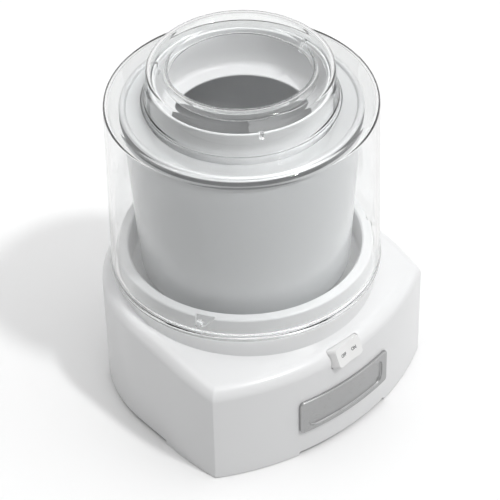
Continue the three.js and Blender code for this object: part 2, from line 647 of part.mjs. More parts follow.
function paddleBody() {
  const [r, w, top] = [paddle.ringRadius, paddle.wall, paddle.ringTop];
  const { mouth, rim, ringBottom, flangeChamfer, cove } = paddle;
  const shoulderR = r - paddle.ringDraft;
  const flangeTop = ringBottom + w;
  // an open ring: a thin upright wall, with a flange round the mouth at its foot
  const crown = turned([
    [mouth, ringBottom], [r - flangeChamfer, ringBottom], [r, ringBottom + flangeChamfer],
    [shoulderR, top - rim], [shoulderR - rim, top], [shoulderR - w + rim, top], [shoulderR - w, top - rim],
    [r - w, flangeTop + cove], [r - w - cove / 3, flangeTop + cove / 3], [r - w - cove, flangeTop],
    [mouth + flangeChamfer, flangeTop], [mouth, flangeTop - flangeChamfer],
  ]);
  const blade = paddleBlade();
  const blades = [0, 180].map((turn) => turnedAbout(blade, bearing(paddle.angle) + turn));
  const keyways = around(key.count, key.firstAngle, (angle) => turnedAbout(block(
    lid.neckRadius - lid.spoutWall / 2 - key.depth - key.gap, r + past,
    -key.width / 2 - key.gap, key.width / 2 + key.gap, top - key.depth - key.gap, top + past,
  ), bearing(angle)));
  return joined([crown, ...blades]).subtract(joined(keyways));
}

// ---------- the drive ----------
function driveHub() {
  const under = hubTop - hub.disc;
  const skirtEnd = well.floor + hub.skirtGap;
  const body = turned([
    [0, under], [hub.radius - hub.skirtWall, under], [hub.radius - hub.skirtWall, skirtEnd],
    [hub.radius, skirtEnd], [hub.radius, hubTop - hub.edge], [hub.radius - hub.edge, hubTop], [0, hubTop],
  ], roundSides / 2);
  const hubLugs = lugs(hubTop - hub.edge, lugTop, hub.lugInner, hub.radius - hub.edge, 0);
  return joined([body, ...hubLugs]).subtract(throughHole(spindle.radius + seat));
}

// Spur gear with straight flanks; the tooth at angle 0 is centred on +X.
function gear(module, teeth, bottom, top, boreRadius) {
  const pitch = (module * teeth) / 2;
  const half = Math.PI / 2 / teeth - (toothPlay * module) / 4 / pitch;
  const lean = (height) => (height * Math.tan(rad(tooth.pressureAngle))) / pitch;
  const [rise, drop] = [module * tooth.rise, module * tooth.drop];
  const root = half + lean(drop) * tooth.rootLean;
  const tip = half - lean(rise) * tooth.tipLean;
  const outline = [];
  for (let i = 0; i < teeth; i += 1) {
    const middle = (i * 2 * Math.PI) / teeth;
    const corners = [
      [pitch - drop, -root], [pitch, -half], [pitch + rise, -tip],
      [pitch + rise, tip], [pitch, half], [pitch - drop, root],
    ].filter(([r]) => teeth < tooth.plainFrom || r !== pitch);
    corners.forEach(([r, a]) => outline.push([r * Math.cos(middle + a), r * Math.sin(middle + a)]));
  }
  return prism(outline, bottom, top).subtract(throughHole(boreRadius));
}

const pitchRadius = (stage, teeth) => (stage.module * teeth) / 2;
const firstDistance = pitchRadius(firstStage, firstStage.driver + firstStage.driven);
const lastDistance = pitchRadius(lastStage, lastStage.driver + lastStage.driven);
const motorDistance = Math.hypot(motor.x, motor.y);
// The compound gear's axle meshes with both the spindle's gear and the motor's pinion.
const axleSpot = (() => {
  const along = (lastDistance ** 2 - firstDistance ** 2 + motorDistance ** 2) / (2 * motorDistance);
  const across = Math.sqrt(lastDistance ** 2 - along ** 2);
  const [ux, uy] = [motor.x / motorDistance, motor.y / motorDistance];
  return { x: ux * along + uy * across, y: uy * along - ux * across };
})();

const compoundBore = axle.radius + runFit;
// Each driven gear is turned so that one of its gaps faces a tooth of its driver.
const toDegrees = THREE.MathUtils.radToDeg;
const axleBearing = toDegrees(Math.atan2(axleSpot.y, axleSpot.x));
const motorBearing = toDegrees(Math.atan2(motor.y - axleSpot.y, motor.x - axleSpot.x));
const halfTooth = (teeth) => 180 / teeth;

function compoundGear() {
  const wheel = turnedAbout(
    gear(firstStage.module, firstStage.driven, gearFloor, wheelTop, compoundBore),
    motorBearing + halfTooth(firstStage.driven),
  );
  const pinion = turnedAbout(
    gear(lastStage.module, lastStage.driver, gearFloor + seat, compoundTop, compoundBore),
    axleBearing + 180,
  );
  return wheel.add(pinion);
}

function outputGear() {
  const wheel = turnedAbout(
    gear(lastStage.module, lastStage.driven, outputBottom, outputTop, spindle.radius + seat),
    axleBearing + halfTooth(lastStage.driven),
  );
  const hubRing = ring(
    spindle.radius + seat, spindle.radius + outputHub.wall,
    outputBottom - outputHub.below, outputTop + outputHub.above,
  );
  return wheel.add(hubRing);
}

function driveSpindle() {
  const { radius, nose, noseRound } = spindle;
  const shoulder = radius + spindle.shoulder;
  const foot = frameBottom - spindle.tail;
  const shoulderLow = frame.top + spindle.bushFlange + seat * 2;
  const shoulderTop = outputBottom - outputHub.below - seat;
  return turned([
    [0, foot], [radius, foot], [radius, shoulderLow], [shoulder, shoulderLow],
    [shoulder, shoulderTop], [radius, shoulderTop],
    [radius, hubTop + nose - noseRound], [radius - noseRound, hubTop + nose], [0, hubTop + nose],
  ], smallSides);
}

// Flanged plain bush; the flange is at its top.
function bush(inner, outer, bottom, flangeBottom, flangeTop, flangeRadius) {
  return turned([
    [inner, bottom], [outer, bottom], [outer, flangeBottom], [flangeRadius, flangeBottom],
    [flangeRadius, flangeTop], [inner, flangeTop],
  ], smallSides);
}

function gearFrame() {
  const { left, right, front, rear, corner } = frame;
  const centres = [
    [right - corner, rear - corner, 0], [left + corner, rear - corner, 90],
    [left + corner, front + corner, 180], [right - corner, front + corner, 270],
  ];
  const steps = 5;
  const outline = centres.flatMap(([x, y, start]) => Array.from({ length: steps + 1 }, (_, i) => {
    const t = rad(start + (90 * i) / steps);
    return [x + corner * Math.cos(t), y + corner * Math.sin(t)];
  }));
  return prism(outline, frameBottom, frame.top).subtract(joined([
    throughHole(bushOuter + seat),
    throughHole(axle.radius + seat, axleSpot.x, axleSpot.y),
    throughHole(motorBushOuter + seat, motor.x, motor.y),
    ...framePosts.map(({ x, y }) => throughHole(frameScrew.shank + seat, x, y, screwSides)),
    boltHoles().translate([motor.x, motor.y, 0]),
  ]));
}

function compoundAxle() {
  const { radius, flange } = axle;
  const foot = frameBottom - axle.tail;
  const [flangeLow, flangeTop] = [frame.top + seat, gearFloor - seat];
  return turned([
    [0, foot], [radius, foot], [radius, flangeLow], [flange, flangeLow],
    [flange, flangeTop], [radius, flangeTop], [radius, roof - seat], [0, roof - seat],
  ], smallSides);
}

// ---------- the motor ----------
const boltSpots = [[-motor.boltOffset, motor.boltOffset], [motor.boltOffset, -motor.boltOffset]];
const motorBushInner = motor.shaft + runFit;
const motorBushOuter = motorBushInner + motor.bushWall;

function boltHoles() {
  return joined(boltSpots.map(([x, y]) => throughHole(motor.boltRadius + seat, x, y, screwSides)));
}

function statorStack() {
  const half = motor.halfStack;
  return block(-half, half, -half, half, stackBottom, stackTop)
    .subtract(throughHole(motor.bore, 0, 0, motorSides)).subtract(boltHoles());
}

function coil(bottom) {
  const [a, b, h] = [motor.coilInner, motor.coilOuter, motor.coilHeight];
  const round = motor.coilRound;
  return turned([
    [a, bottom + round], [a + round, bottom], [b - round, bottom], [b, bottom + round],
    [b, bottom + h - round], [b - round, bottom + h], [a + round, bottom + h], [a, bottom + h - round],
  ], motorSides);
}

// End bracket: a plate with two legs that stand on the stack at the through bolts.
function bracket(plateBottom, legBottom, legTop) {
  const half = motor.halfStack;
  const legs = boltSpots.map(([x, y]) => block(
    x - motor.leg / 2, x + motor.leg / 2, y - motor.leg / 2, y + motor.leg / 2, legBottom, legTop,
  ));
  const plate = block(-half, half, -half, half, plateBottom, plateBottom + motor.bracket);
  return joined([plate, ...legs]).subtract(throughHole(motorBushOuter + seat)).subtract(boltHoles());
}

function motorBolt() {
  const { boltRadius, boltHead } = motor;
  const under = lowBracketBottom - seat;
  const headEnd = under - motor.boltHeadHeight;
  const end = frame.top + motor.boltEnd;
  return turned([
    [0, headEnd], [boltHead, headEnd], [boltHead, under], [boltRadius, under], [boltRadius, end], [0, end],
  ], screwSides);
}

function coolingFan() {
  const bottom = shaftFoot + fan.rise;
  const half = fan.bladeThickness / 2;
  const blade = block(fan.hub - past, fan.radius, -half, half, -fan.height / 2 + past, fan.height / 2)
    .rotate([fan.pitch, 0, 0]).translate([0, 0, (bottom + fanTop) / 2]);
  const blades = around(fan.blades, 0, (angle) => turnedAbout(blade, angle));
  const disc = rod(fan.disc, bottom, bottom + fan.discThickness, motorSides);
  return joined([rod(fan.hub, bottom, fanTop), disc, ...blades]).subtract(throughHole(motor.shaft + seat));
}

// ---------- switch, plates and small pieces ----------
function rockerButton() {
  const { halfWidth: end, pivotDepth, proud, swing, plate, stem } = rocker;
  const topAt = (x) => proud + Math.abs(x) * Math.tan(rad(swing));
  const onEnd = (n) => Math.sqrt(end ** 2 - (n + pivotDepth) ** 2);
  const lift = topAt(onEnd(proud));
  const right = [
    [onEnd(-plate) - plate, -plate], [onEnd(0), 0], [onEnd(lift) - seat / 2, lift], [stem, topAt(stem)],
  ];
  const left = right.map(([x, n]) => [-x, n]).reverse();
  const cap = [[stem, -plate - proud], ...right, [0, proud], ...left, [-stem, -plate - proud]];
  const across = (outline, height) => solid(new THREE.ExtrudeGeometry(
    new THREE.Shape(outline.map(([x, n]) => new THREE.Vector2(x, n))), { depth: height, bevelEnabled: false },
  ).translate(0, 0, -height / 2).rotateX(Math.PI / 2));
  const stemBox = [[-stem, -rocker.stemDepth], [stem, -rocker.stemDepth], [stem, 0], [-stem, 0]];
  return joined([across(cap, rocker.height), across(stemBox, rocker.stemHeight)])
    .subtract(alongPin(rocker.pin + runFit, 2 * rocker.height));
}

// A rod on the rocker's pin axis.
function alongPin(radius, length) {
  return solid(new THREE.CylinderGeometry(radius, radius, length, smallSides)
    .translate(0, 0, -rocker.pivotDepth));
}

// The rocker is drawn level; it rests tipped to its ON side, about its pin.
function aboutRockerPin(degrees) {
  const pin = new THREE.Vector3(0, 0, -rocker.pivotDepth);
  return new THREE.Matrix4().makeTranslation(pin)
    .multiply(new THREE.Matrix4().makeRotationY(rad(degrees)))
    .multiply(new THREE.Matrix4().makeTranslation(pin.negate()));
}

const earInner = rocker.stemHeight / 2 + seat;
const earOuter = earInner + switchCase.ear;

function switchBody() {
  const { earHalf, side, bridge } = switchCase;
  const earTop = -rocker.pivotDepth + rocker.pin + switchCase.earTop;
  const floor = -rocker.stemDepth - switchCase.floor;
  const halfX = rocker.stem + side;
  const wing = rocker.halfWidth + switchCase.wing;
  // The posts stop short of the wall, which falls away to the sides and down its round.
  const round = base.shoulder - base.wall;
  const sideFall = wing ** 2 / (2 * (base.frontBulge - base.wall));
  const postTop = -base.wall - 2 * seat - sideFall - (round - Math.sqrt(round ** 2 - earHalf ** 2));
  const body = block(-halfX, halfX, -earOuter, earOuter, floor - switchCase.depth, floor);
  const ears = [earInner, -earOuter].map((y) => block(
    -earHalf, earHalf, y, y + switchCase.ear, floor - bridge, earTop,
  ));
  const bridgeBar = block(-wing, wing, -earHalf, earHalf, floor - bridge, floor);
  const posts = [-wing, wing - bridge].map((x) => block(
    x, x + bridge, -earHalf, earHalf, floor - past, postTop,
  ));
  return joined([body, ...ears, bridgeBar, ...posts])
    .subtract(alongPin(rocker.pin + seat, 2 * rocker.height));
}

// Piece of a cylinder that follows the bulged front.
function frontSector(inner, outer, halfWidth, bottom, top) {
  const steps = 8;
  const half = Math.asin(halfWidth / base.frontBulge);
  const arc = (r, from, to) => Array.from({ length: steps + 1 }, (_, i) => {
    const t = from + ((to - from) * i) / steps;
    return [r * Math.sin(t), frontCentreY - r * Math.cos(t)];
  });
  return prism([...arc(outer, -half, half), ...arc(inner, half, -half)], bottom, top);
}

function namePlate() {
  const inner = base.frontBulge + seat;
  const outer = inner + nameplate.thickness;
  const { halfWidth, bottom, top, border, pocket } = nameplate;
  return frontSector(inner, outer, halfWidth, bottom, top)
    .subtract(frontSector(outer - pocket, outer + past, halfWidth - border, bottom + border, top - border));
}

function bottomPlate() {
  const outline = planOutline(base.wall + plateLow.gap);
  const vents = Array.from({ length: plateLow.vents }, (_, i) => {
    const y = motor.y + (i - (plateLow.vents - 1) / 2) * plateLow.ventPitch;
    return block(motor.x - plateLow.ventLength / 2, motor.x + plateLow.ventLength / 2,
      y - plateLow.ventWidth / 2, y + plateLow.ventWidth / 2, 0, lowPlateTop + past);
  });
  return prism(outline, plateLow.bottom, lowPlateTop).subtract(joined([
    ...vents,
    ...footSpots.map(([x, y]) => throughHole(foot.stem + seat, x, y)),
    ...lowScrewSpots.map(([x, y]) => throughHole(lowScrew.shank + seat, x, y, screwSides)),
  ]));
}

function rubberFoot() {
  const { radius, edge, stem, barb } = foot;
  const padTop = plateLow.bottom - seat;
  const barbLow = lowPlateTop + seat;
  const barbTop = lowPlateTop + foot.barbHeight;
  return turned([
    [0, 0], [radius - edge, 0], [radius, edge], [radius - edge, padTop], [stem, padTop],
    [stem, barbLow], [barb, barbLow], [stem - edge, barbTop], [0, barbTop],
  ], smallSides);
}

// Pan-head screw that points up; its head is below the seat.
function panScrew({ head, headHeight, shank, length }, seatHeight) {
  const under = seatHeight - seat;
  const headEnd = under - headHeight;
  return turned([
    [0, headEnd], [head - screwEdge, headEnd], [head, headEnd + screwEdge], [head, under],
    [shank, under], [shank, under + length], [0, under + length],
  ], screwSides);
}

function cordGland() {
  const start = base.rearRadius - base.wall - gland.inside;
  const flangeStart = base.rearRadius + seat;
  const flangeEnd = flangeStart + gland.flangeThickness;
  const end = base.rearRadius + gland.reach;
  return turned([
    [gland.bore, start], [gland.body, start], [gland.body, flangeStart], [gland.flange, flangeStart],
    [gland.flange, flangeEnd], [gland.body, flangeEnd + gland.edge],
    [gland.body - gland.edge, end], [gland.bore, end],
  ], smallSides).rotate([-90, 0, 0]).translate([0, 0, gland.height]);
}

// ---------- assembly ----------
const machine = new THREE.Group();

function add(parent, name, piece, material) {
  const mesh = new THREE.Mesh(surface(piece), material());
  mesh.name = name;
  parent.add(mesh);
  return mesh;
}

function group(x, y, z = 0) {
  const made = new THREE.Group();
  made.position.set(x, y, z);
  machine.add(made);
  return made;
}

add(machine, 'base_housing', baseHousing(), finishes.housing);
add(machine, 'nameplate', namePlate(), finishes.nameplate);
add(machine, 'bottom_plate', bottomPlate(), finishes.darkPlastic);
add(machine, 'cord_gland', cordGland(), finishes.rubber);

const corners = ['front_left', 'front_right', 'rear_left', 'rear_right'];
corners.forEach((corner, i) => {
  add(group(...footSpots[i]), `rubber_foot_${corner}`, rubberFoot(), finishes.rubber);
  const screw = panScrew(lowScrew, plateLow.bottom);
  add(group(...lowScrewSpots[i]), `bottom_screw_${corner}`, screw, finishes.steel);
});

const switchGroup = new THREE.Group();
switchGroup.applyMatrix4(rockerFrame);
machine.add(switchGroup);
add(switchGroup, 'rocker_switch', placed(rockerButton(), aboutRockerPin(rocker.swing)), finishes.rocker);
add(switchGroup, 'switch_body', switchBody(), finishes.darkPlastic);
add(switchGroup, 'switch_pin', alongPin(rocker.pin, 2 * earOuter), finishes.steel);

add(machine, 'gear_frame', gearFrame(), finishes.zinc);
framePosts.forEach(({ x, y }, i) => {
  add(group(x, y), `frame_screw_${i + 1}`, panScrew(frameScrew, frameBottom), finishes.steel);
});
add(machine, 'spindle_bush_lower', bush(
  bushInner, bushOuter, frameBottom - axle.tail, frame.top + seat, frame.top + seat + spindle.bushFlange,
  bushOuter + spindle.bushFlangeWidth,
), finishes.bronze);
add(machine, 'spindle_bush_upper', ring(
  bushInner, bushOuter, roof, bossTop,
), finishes.bronze);
add(machine, 'shaft_seal', ring(
  bushInner, boss.radius - seat, bossTop + seat, bossTop + seat + seal.height,
), finishes.rubber);
add(machine, 'drive_spindle', driveSpindle(), finishes.steel);
add(machine, 'output_gear', outputGear(), finishes.acetal);
add(machine, 'drive_hub', driveHub(), finishes.acetal);

const axleGroup = group(axleSpot.x, axleSpot.y);
add(axleGroup, 'compound_axle', compoundAxle(), finishes.steel);
add(axleGroup, 'compound_gear', compoundGear(), finishes.acetal);

const motorGroup = group(motor.x, motor.y);
const pinionBottom = gearFloor - pinionOverhang;
const pinionTop = wheelTop + pinionOverhang;
add(motorGroup, 'stator_stack', statorStack(), finishes.laminations);
add(motorGroup, 'coil_upper', coil(stackTop + seat), finishes.copper);
add(motorGroup, 'coil_lower', coil(stackBottom - seat - motor.coilHeight), finishes.copper);
add(motorGroup, 'bracket_upper', bracket(
  motorTop - motor.bracket, stackTop + seat, motorTop,
), finishes.zinc);
add(motorGroup, 'bracket_lower', bracket(
  lowBracketBottom, lowBracketBottom, stackBottom - seat,
), finishes.zinc);
add(motorGroup, 'motor_bush_upper', ring(
  motorBushInner, motorBushOuter, motorTop - motor.bracket, frame.top,
), finishes.bronze);
add(motorGroup, 'motor_bush_lower', ring(
  motorBushInner, motorBushOuter, lowBracketBottom, lowBracketTop + motor.bushRise,
), finishes.bronze);
boltSpots.forEach(([x, y], i) => {
  const mesh = add(motorGroup, `motor_bolt_${i + 1}`, motorBolt(), finishes.steel);
  mesh.position.set(x, y, 0);
});
add(motorGroup, 'motor_shaft', rod(motor.shaft, shaftFoot, pinionTop + pinionOverhang), finishes.steel);
add(motorGroup, 'rotor_core', ring(
  motor.shaft + seat, motor.bore - motor.airGap, stackBottom - motor.rotorOverhang,
  stackTop + motor.rotorOverhang, motorSides,
), finishes.laminations);
add(motorGroup, 'cooling_fan', coolingFan(), finishes.darkPlastic);
add(motorGroup, 'motor_pinion', turnedAbout(
  gear(firstStage.module, firstStage.driver, pinionBottom, pinionTop, motor.shaft + seat), motorBearing + 180,
), finishes.steel);

add(machine, 'bowl_shell', bowlShell(), finishes.bowlShell);
add(machine, 'bowl_liner', bowlLiner(), finishes.liner);
add(machine, 'bowl_gel', bowlGel(), finishes.gel);
add(machine, 'bowl_drive_ring', bowlDriveRing(), finishes.acetal);
add(machine, 'paddle', paddleBody(), finishes.paddle);
add(machine, 'lid', clearLid(), finishes.clear);

export default machine;
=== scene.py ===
from math import asin, ceil, cos, hypot, pi, radians, sin, sqrt, tan

import bmesh
import bpy
from mathutils import Matrix, Vector


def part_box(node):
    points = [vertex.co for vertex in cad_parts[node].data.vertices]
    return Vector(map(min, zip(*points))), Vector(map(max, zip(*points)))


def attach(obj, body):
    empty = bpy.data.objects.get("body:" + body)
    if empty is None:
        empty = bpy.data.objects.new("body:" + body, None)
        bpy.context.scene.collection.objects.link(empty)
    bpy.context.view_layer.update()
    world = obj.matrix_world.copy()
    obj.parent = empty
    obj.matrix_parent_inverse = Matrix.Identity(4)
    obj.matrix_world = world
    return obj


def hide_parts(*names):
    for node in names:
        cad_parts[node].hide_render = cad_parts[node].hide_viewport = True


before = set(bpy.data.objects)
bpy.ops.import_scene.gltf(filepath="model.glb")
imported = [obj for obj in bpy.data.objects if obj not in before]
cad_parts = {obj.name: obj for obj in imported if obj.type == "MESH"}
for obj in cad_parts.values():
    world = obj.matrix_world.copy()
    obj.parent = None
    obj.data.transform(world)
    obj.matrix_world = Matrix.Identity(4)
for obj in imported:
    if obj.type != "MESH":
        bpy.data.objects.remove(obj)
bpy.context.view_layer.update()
scene = bpy.context.scene
mm = 0.001  # shapes are drawn in millimetres and scaled down when they are finished
print("frame loaded:", len(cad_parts), "nodes")


# Shared shapes

def rounded(bm, edges, size, segments=0):
    # Rolls a bevel over sharp edges.
    bmesh.ops.bevel(
        bm, geom=edges, offset=size, offset_type="OFFSET", segments=segments or min(8, 2 + ceil(size)),
        profile=0.5, affect="EDGES", clamp_overlap=True, material=-1,
    )


def inLoop(points):
    # Neighbours in a closed loop, pair by pair.
    return zip(points, points[1:] + points[:1])


def turned(corners, steps):
    # Turns a closed section of (radius, height) corners about Z. A third number rounds that corner.
    bm = bmesh.new()
    points = [bm.verts.new((corner[0], 0, corner[1])) for corner in corners]
    lines = [bm.edges.new(pair) for pair in inLoop(points) if max(point.co.x for point in pair) > 0]
    bmesh.ops.spin(
        bm, geom=points + lines, cent=(0, 0, 0), axis=(0, 0, 1), angle=2 * pi, steps=steps, use_merge=True,
    )
    bmesh.ops.remove_doubles(bm, verts=bm.verts, dist=0.001)
    for radius, height, *size in corners:
        if any(size):
            rounded(bm, circleAt(bm, radius, height), size[0])
    return bm


def circleAt(bm, radius, height):
    # The ring of edges that lies at one radius and height.
    def onRing(point):
        return abs(hypot(point.co.x, point.co.y) - radius) < 0.003 and abs(point.co.z - height) < 0.003
    return [edge for edge in bm.edges if all(onRing(point) for point in edge.verts)]


def block(corner, opposite, edge):
    # A box between two corners, with rolled edges.
    bm = bmesh.new()
    middle = (Vector(corner) + Vector(opposite)) / 2
    size = [abs(part) for part in Vector(opposite) - Vector(corner)]
    bmesh.ops.create_cube(bm, size=1, matrix=Matrix.Translation(middle) @ Matrix.Diagonal((*size, 1)))
    rounded(bm, bm.edges[:], edge)
    return bm


def pulledUp(bm, height):
    # Pulls a flat face up into a solid.
    pulled = bmesh.ops.extrude_face_region(bm, geom=bm.faces[:])
    raised = [part for part in pulled["geom"] if isinstance(part, bmesh.types.BMVert)]
    bmesh.ops.translate(bm, vec=(0, 0, height), verts=raised)
    bmesh.ops.recalc_face_normals(bm, faces=bm.faces)
    return bm


def plate(outline, bottom, top):
    # A solid with a flat outline of (x, y) corners.
    bm = bmesh.new()
    bm.faces.new([bm.verts.new((x, y, bottom)) for x, y in outline])
    return pulledUp(bm, top - bottom)


def rod(radius, length, matrix, segments=32):
    # A round bar, centred on a matrix and lying along its Z axis. One that cuts is longer than its hole.
    bm = bmesh.new()
    bmesh.ops.create_cone(
        bm, cap_ends=True, segments=segments, radius1=radius, radius2=radius, depth=length, matrix=matrix,
    )
    return bm


def heights(edge):
    return [point.co.z for point in edge.verts]


def rise(edge):
    return max(heights(edge)) - min(heights(edge))


def uprights(bm):
    return [edge for edge in bm.edges if rise(edge) > 1]


def tablet(low, high, corner, segments):
    # A flat block between two corners, with its upright edges rounded.
    outline = [(low[0], low[1]), (high[0], low[1]), (high[0], high[1]), (low[0], high[1])]
    bm = plate(outline, low[2], high[2])
    rounded(bm, uprights(bm), corner, segments)
    return bm


def sharp(bm, degrees):
    # The edges that turn by more than an angle.
    return [edge for edge in bm.edges if edge.calc_face_angle(0) > radians(degrees)]


def moved(bm, matrix):
    bmesh.ops.transform(bm, matrix=matrix, verts=bm.verts)
    return bm


def absorbed(bm, other):
    # Takes another shape into this one as it is.
    mesh = bpy.data.meshes.new("absorbed")
    other.to_mesh(mesh)
    other.free()
    bm.from_mesh(mesh)
    bpy.data.meshes.remove(mesh)
    return bm


def evaluated(holder):
    # Gives an object back as a shape, with its modifiers applied.
    ready = holder.evaluated_get(bpy.context.evaluated_depsgraph_get())
    result = bmesh.new()
    result.from_mesh(ready.to_mesh())
    ready.to_mesh_clear()
    bpy.data.objects.remove(holder)
    return result


def held(bm, name):
    # Puts a shape into an object of its own.
    mesh = bpy.data.meshes.new(name)
    bm.to_mesh(mesh)
    bm.free()
    holder = bpy.data.objects.new(name, mesh)
    scene.collection.objects.link(holder)
    return holder


def combined(bm, other, operation):
    # Joins a closed shape to another, or cuts it away.
    tool, holder = held(other, "tool"), held(bm, "shape")
    modifier = holder.modifiers.new("boolean", "BOOLEAN")
    modifier.operation = operation
    modifier.solver = "EXACT"
    modifier.object = tool
    meshes = [tool.data, holder.data]
    result = evaluated(holder)
    bpy.data.objects.remove(tool)
    for mesh in meshes:
        bpy.data.meshes.remove(mesh)
    return result


def withAll(bm, others):
    for other in others:
        bm = combined(bm, other, "UNION")
    return bm


def angled(degreesFromFront):
    # Turn about Z that carries +X to an angle from the front, positive towards +X.
    return Matrix.Rotation(radians(degreesFromFront - 90), 4, "Z")


def spread(count, firstAngle):
    # Angles of equal steps round the axis.
    return [firstAngle + 360 * index / count for index in range(count)]


def made(bm, name, body, finish, stands=(), crease=35, merge=0.004):
    # Tidies a shape, gives it its finish and parents it to the body it rides on; the CAD nodes it stands for
    # are hidden.
    bmesh.ops.remove_doubles(bm, verts=bm.verts, dist=merge)
    bmesh.ops.recalc_face_normals(bm, faces=bm.faces)
    bmesh.ops.scale(bm, vec=(mm, mm, mm), verts=bm.verts)
    for face in bm.faces:
        face.smooth = True
    for edge in bm.edges:
        edge.smooth = edge.calc_face_angle(0) < radians(crease)
    piece = held(bm, name)
    piece.data.materials.append(finish.material)
    piece.modifiers.new("even_shading", "WEIGHTED_NORMAL").keep_sharp = True
    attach(piece, body)
    if stands:
        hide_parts(*stands)
    return piece


# Materials

def darkened(color, share):
    return tuple(part * share for part in color)


class Signal:
    # A node's output that can be added, scaled and compared like a number.
    def __init__(self, finish, socket):
        self.finish = finish
        self.socket = socket

    def calculated(self, operation, *values):
        return self.finish.node("Math", {"operation": operation}, dict(enumerate(values)))

    def __add__(self, other):
        return self.calculated("ADD", self, other)

    def __mul__(self, other):
        return self.calculated("MULTIPLY", self, other)

    def __gt__(self, other):
        return self.calculated("GREATER_THAN", self, other)

    def __lt__(self, other):
        return self.calculated("LESS_THAN", self, other)

    __radd__ = __add__
    __rmul__ = __mul__

    def sine(self):
        return self.calculated("SINE", self)


class Graph:
    # The nodes of one material or of the world.
    def __init__(self, tree):
        self.tree = tree

    def feed(self, socket, value):
        if isinstance(value, Signal):
            self.tree.links.new(value.socket, socket)
        else:
            socket.default_value = value

    def node(self, kind, settings=None, inputs=None, output=0):
        added = self.tree.nodes.new("ShaderNode" + kind)
        for key, value in (settings or {}).items():
            setattr(added, key, value)
        for key, value in (inputs or {}).items():
            self.feed(added.inputs[key], value)
        return Signal(self, added.outputs[output])

    def ramp(self, value, start, end, first=0.0, last=1.0):
        # Eases from one number to another while a value goes from start to end.
        inputs = {"Value": value, "From Min": start, "From Max": end, "To Min": first, "To Max": last}
        return self.node("MapRange", {"interpolation_type": "SMOOTHSTEP"}, inputs)

    def lookedAt(self):
        # 1 where the camera sees something, directly, in a reflection or through the lid. 0 for its light.
        kinds = ["Is Camera Ray", "Is Glossy Ray", "Is Transmission Ray"]
        camera, glossy, through = [self.node("LightPath", output=kind) for kind in kinds]
        diffuse = self.node("LightPath", output="Diffuse Depth")
        seen = camera + glossy + through
        return (seen > 0.5) * (diffuse < 0.5)


class Finish(Graph):
    # A material built around one Principled shader. Values that don't vary stay on its own sockets.
    def __init__(self, name, **fixed):
        self.material = bpy.data.materials.new(name)
        self.material.use_nodes = True
        super().__init__(self.material.node_tree)
        self.shader = self.tree.nodes["Principled BSDF"]
        self.output = self.tree.nodes["Material Output"]
        self.place = self.node("TexCoord", output="Object")
        self.set(**fixed)

    def set(self, **values):
        for name, value in values.items():
            self.feed(self.shader.inputs[name.replace("_", " ")], value)

    def scaled(self, scale=(1, 1, 1), shift=(0, 0, 0)):
        return self.node("Mapping", None, {"Vector": self.place, "Location": shift, "Scale": scale})

    def noise(self, scale, detail, roughness=0.5, vector=None):
        inputs = {"Vector": vector or self.place, "Scale": scale, "Detail": detail, "Roughness": roughness}
        return self.node("TexNoise", None, inputs)

    def heightAndRadius(self, vector=None):
        # How high a place is, and how far from the Z axis.
        whole = {0: vector or self.place}
        x, y, z = [self.node("SeparateXYZ", None, whole, axis) for axis in "XYZ"]
        square = x * x + y * y
        return z, square.calculated("SQRT", square)

    def shade(self, factor, first, second):
        # A colour between two, by a factor.
        colors = [color if isinstance(color, Signal) else (*color, 1) for color in (first, second)]
        return self.node("Mix", {"data_type": "RGBA"}, {0: factor, 6: colors[0], 7: colors[1]}, 2)

    def between(self, factor, low, high):
        return factor * (high - low) + low

    def bumped(self, height, strength, distance=0.0002):
        inputs = {"Height": height, "Strength": strength, "Distance": distance}
        self.set(Normal=self.node("Bump", None, inputs))
        return self

    def mixedWith(self, other, factor):
        # Puts another shader over this one where the factor says.
        own = Signal(self, self.shader.outputs[0])
        mix = self.node("MixShader", None, {0: factor, 1: own, 2: other})
        self.tree.links.new(mix.socket, self.output.inputs["Surface"])


def mouldedPlastic(name, color, roughness, grain, coat, shift):
    # Smooth moulded plastic: a slow drift in tone and gloss, and a very fine skin.
    finish = Finish(name, Coat_Weight=coat, Coat_Roughness=0.12)
    drift = finish.noise(9, 2)
    skin = finish.noise(900, 3)
    flow = finish.noise(60, 2)
    finish.set(
        Base_Color=finish.shade(drift, darkened(color, 1 - shift), color),
        Roughness=finish.between(flow, roughness - 0.03, roughness + 0.03) + skin * 0.03,
    )
    return finish.bumped(skin, grain)


def spunMetal(name, color, roughness, grooves, grain, metallic=1.0, band=None):
    # Metal worked on a lathe: fine rings round the Z axis, broken up a little.
    # A band is (radius, height, colour) of painted shade: outside the radius and under the height the metal
    # takes that dark colour.
    finish = Finish(name, Metallic=metallic)
    z, radius = finish.heightAndRadius()
    breakup = finish.noise(70, 3)
    rings = ((radius + z * 0.7) * grooves + breakup * 1.5).sine() * 0.5 + 0.5
    cloud = finish.noise(25, 3)
    tone = finish.shade(cloud, darkened(color, 0.9), color)
    if band:
        # Painted shade: the band's outside turns to its dark colour.
        inBand = (radius > band[0] * mm) * (z < band[1] * mm)
        tone = finish.shade(inBand, tone, band[2])
    finish.set(
        Base_Color=tone,
        Roughness=finish.between(rings, roughness - 0.06, roughness + 0.06) + cloud * 0.05,
    )
    return finish.bumped(rings + breakup, grain, 0.0001)


def brushedMetal(name, color, roughness, across, grain, metallic):
    # Rolled sheet, brushed along X: long thin streaks.
    finish = Finish(name, Metallic=metallic)
    streaks = finish.noise(40, 4, 0.65, finish.scaled((across, 60, 60)))
    cloud = finish.noise(18, 3)
    finish.set(
        Base_Color=finish.shade(streaks, darkened(color, 0.86), color),
        Roughness=finish.between(streaks, roughness - 0.08, roughness + 0.08) + cloud * 0.06,
    )
    return finish.bumped(streaks, grain, 0.0001)


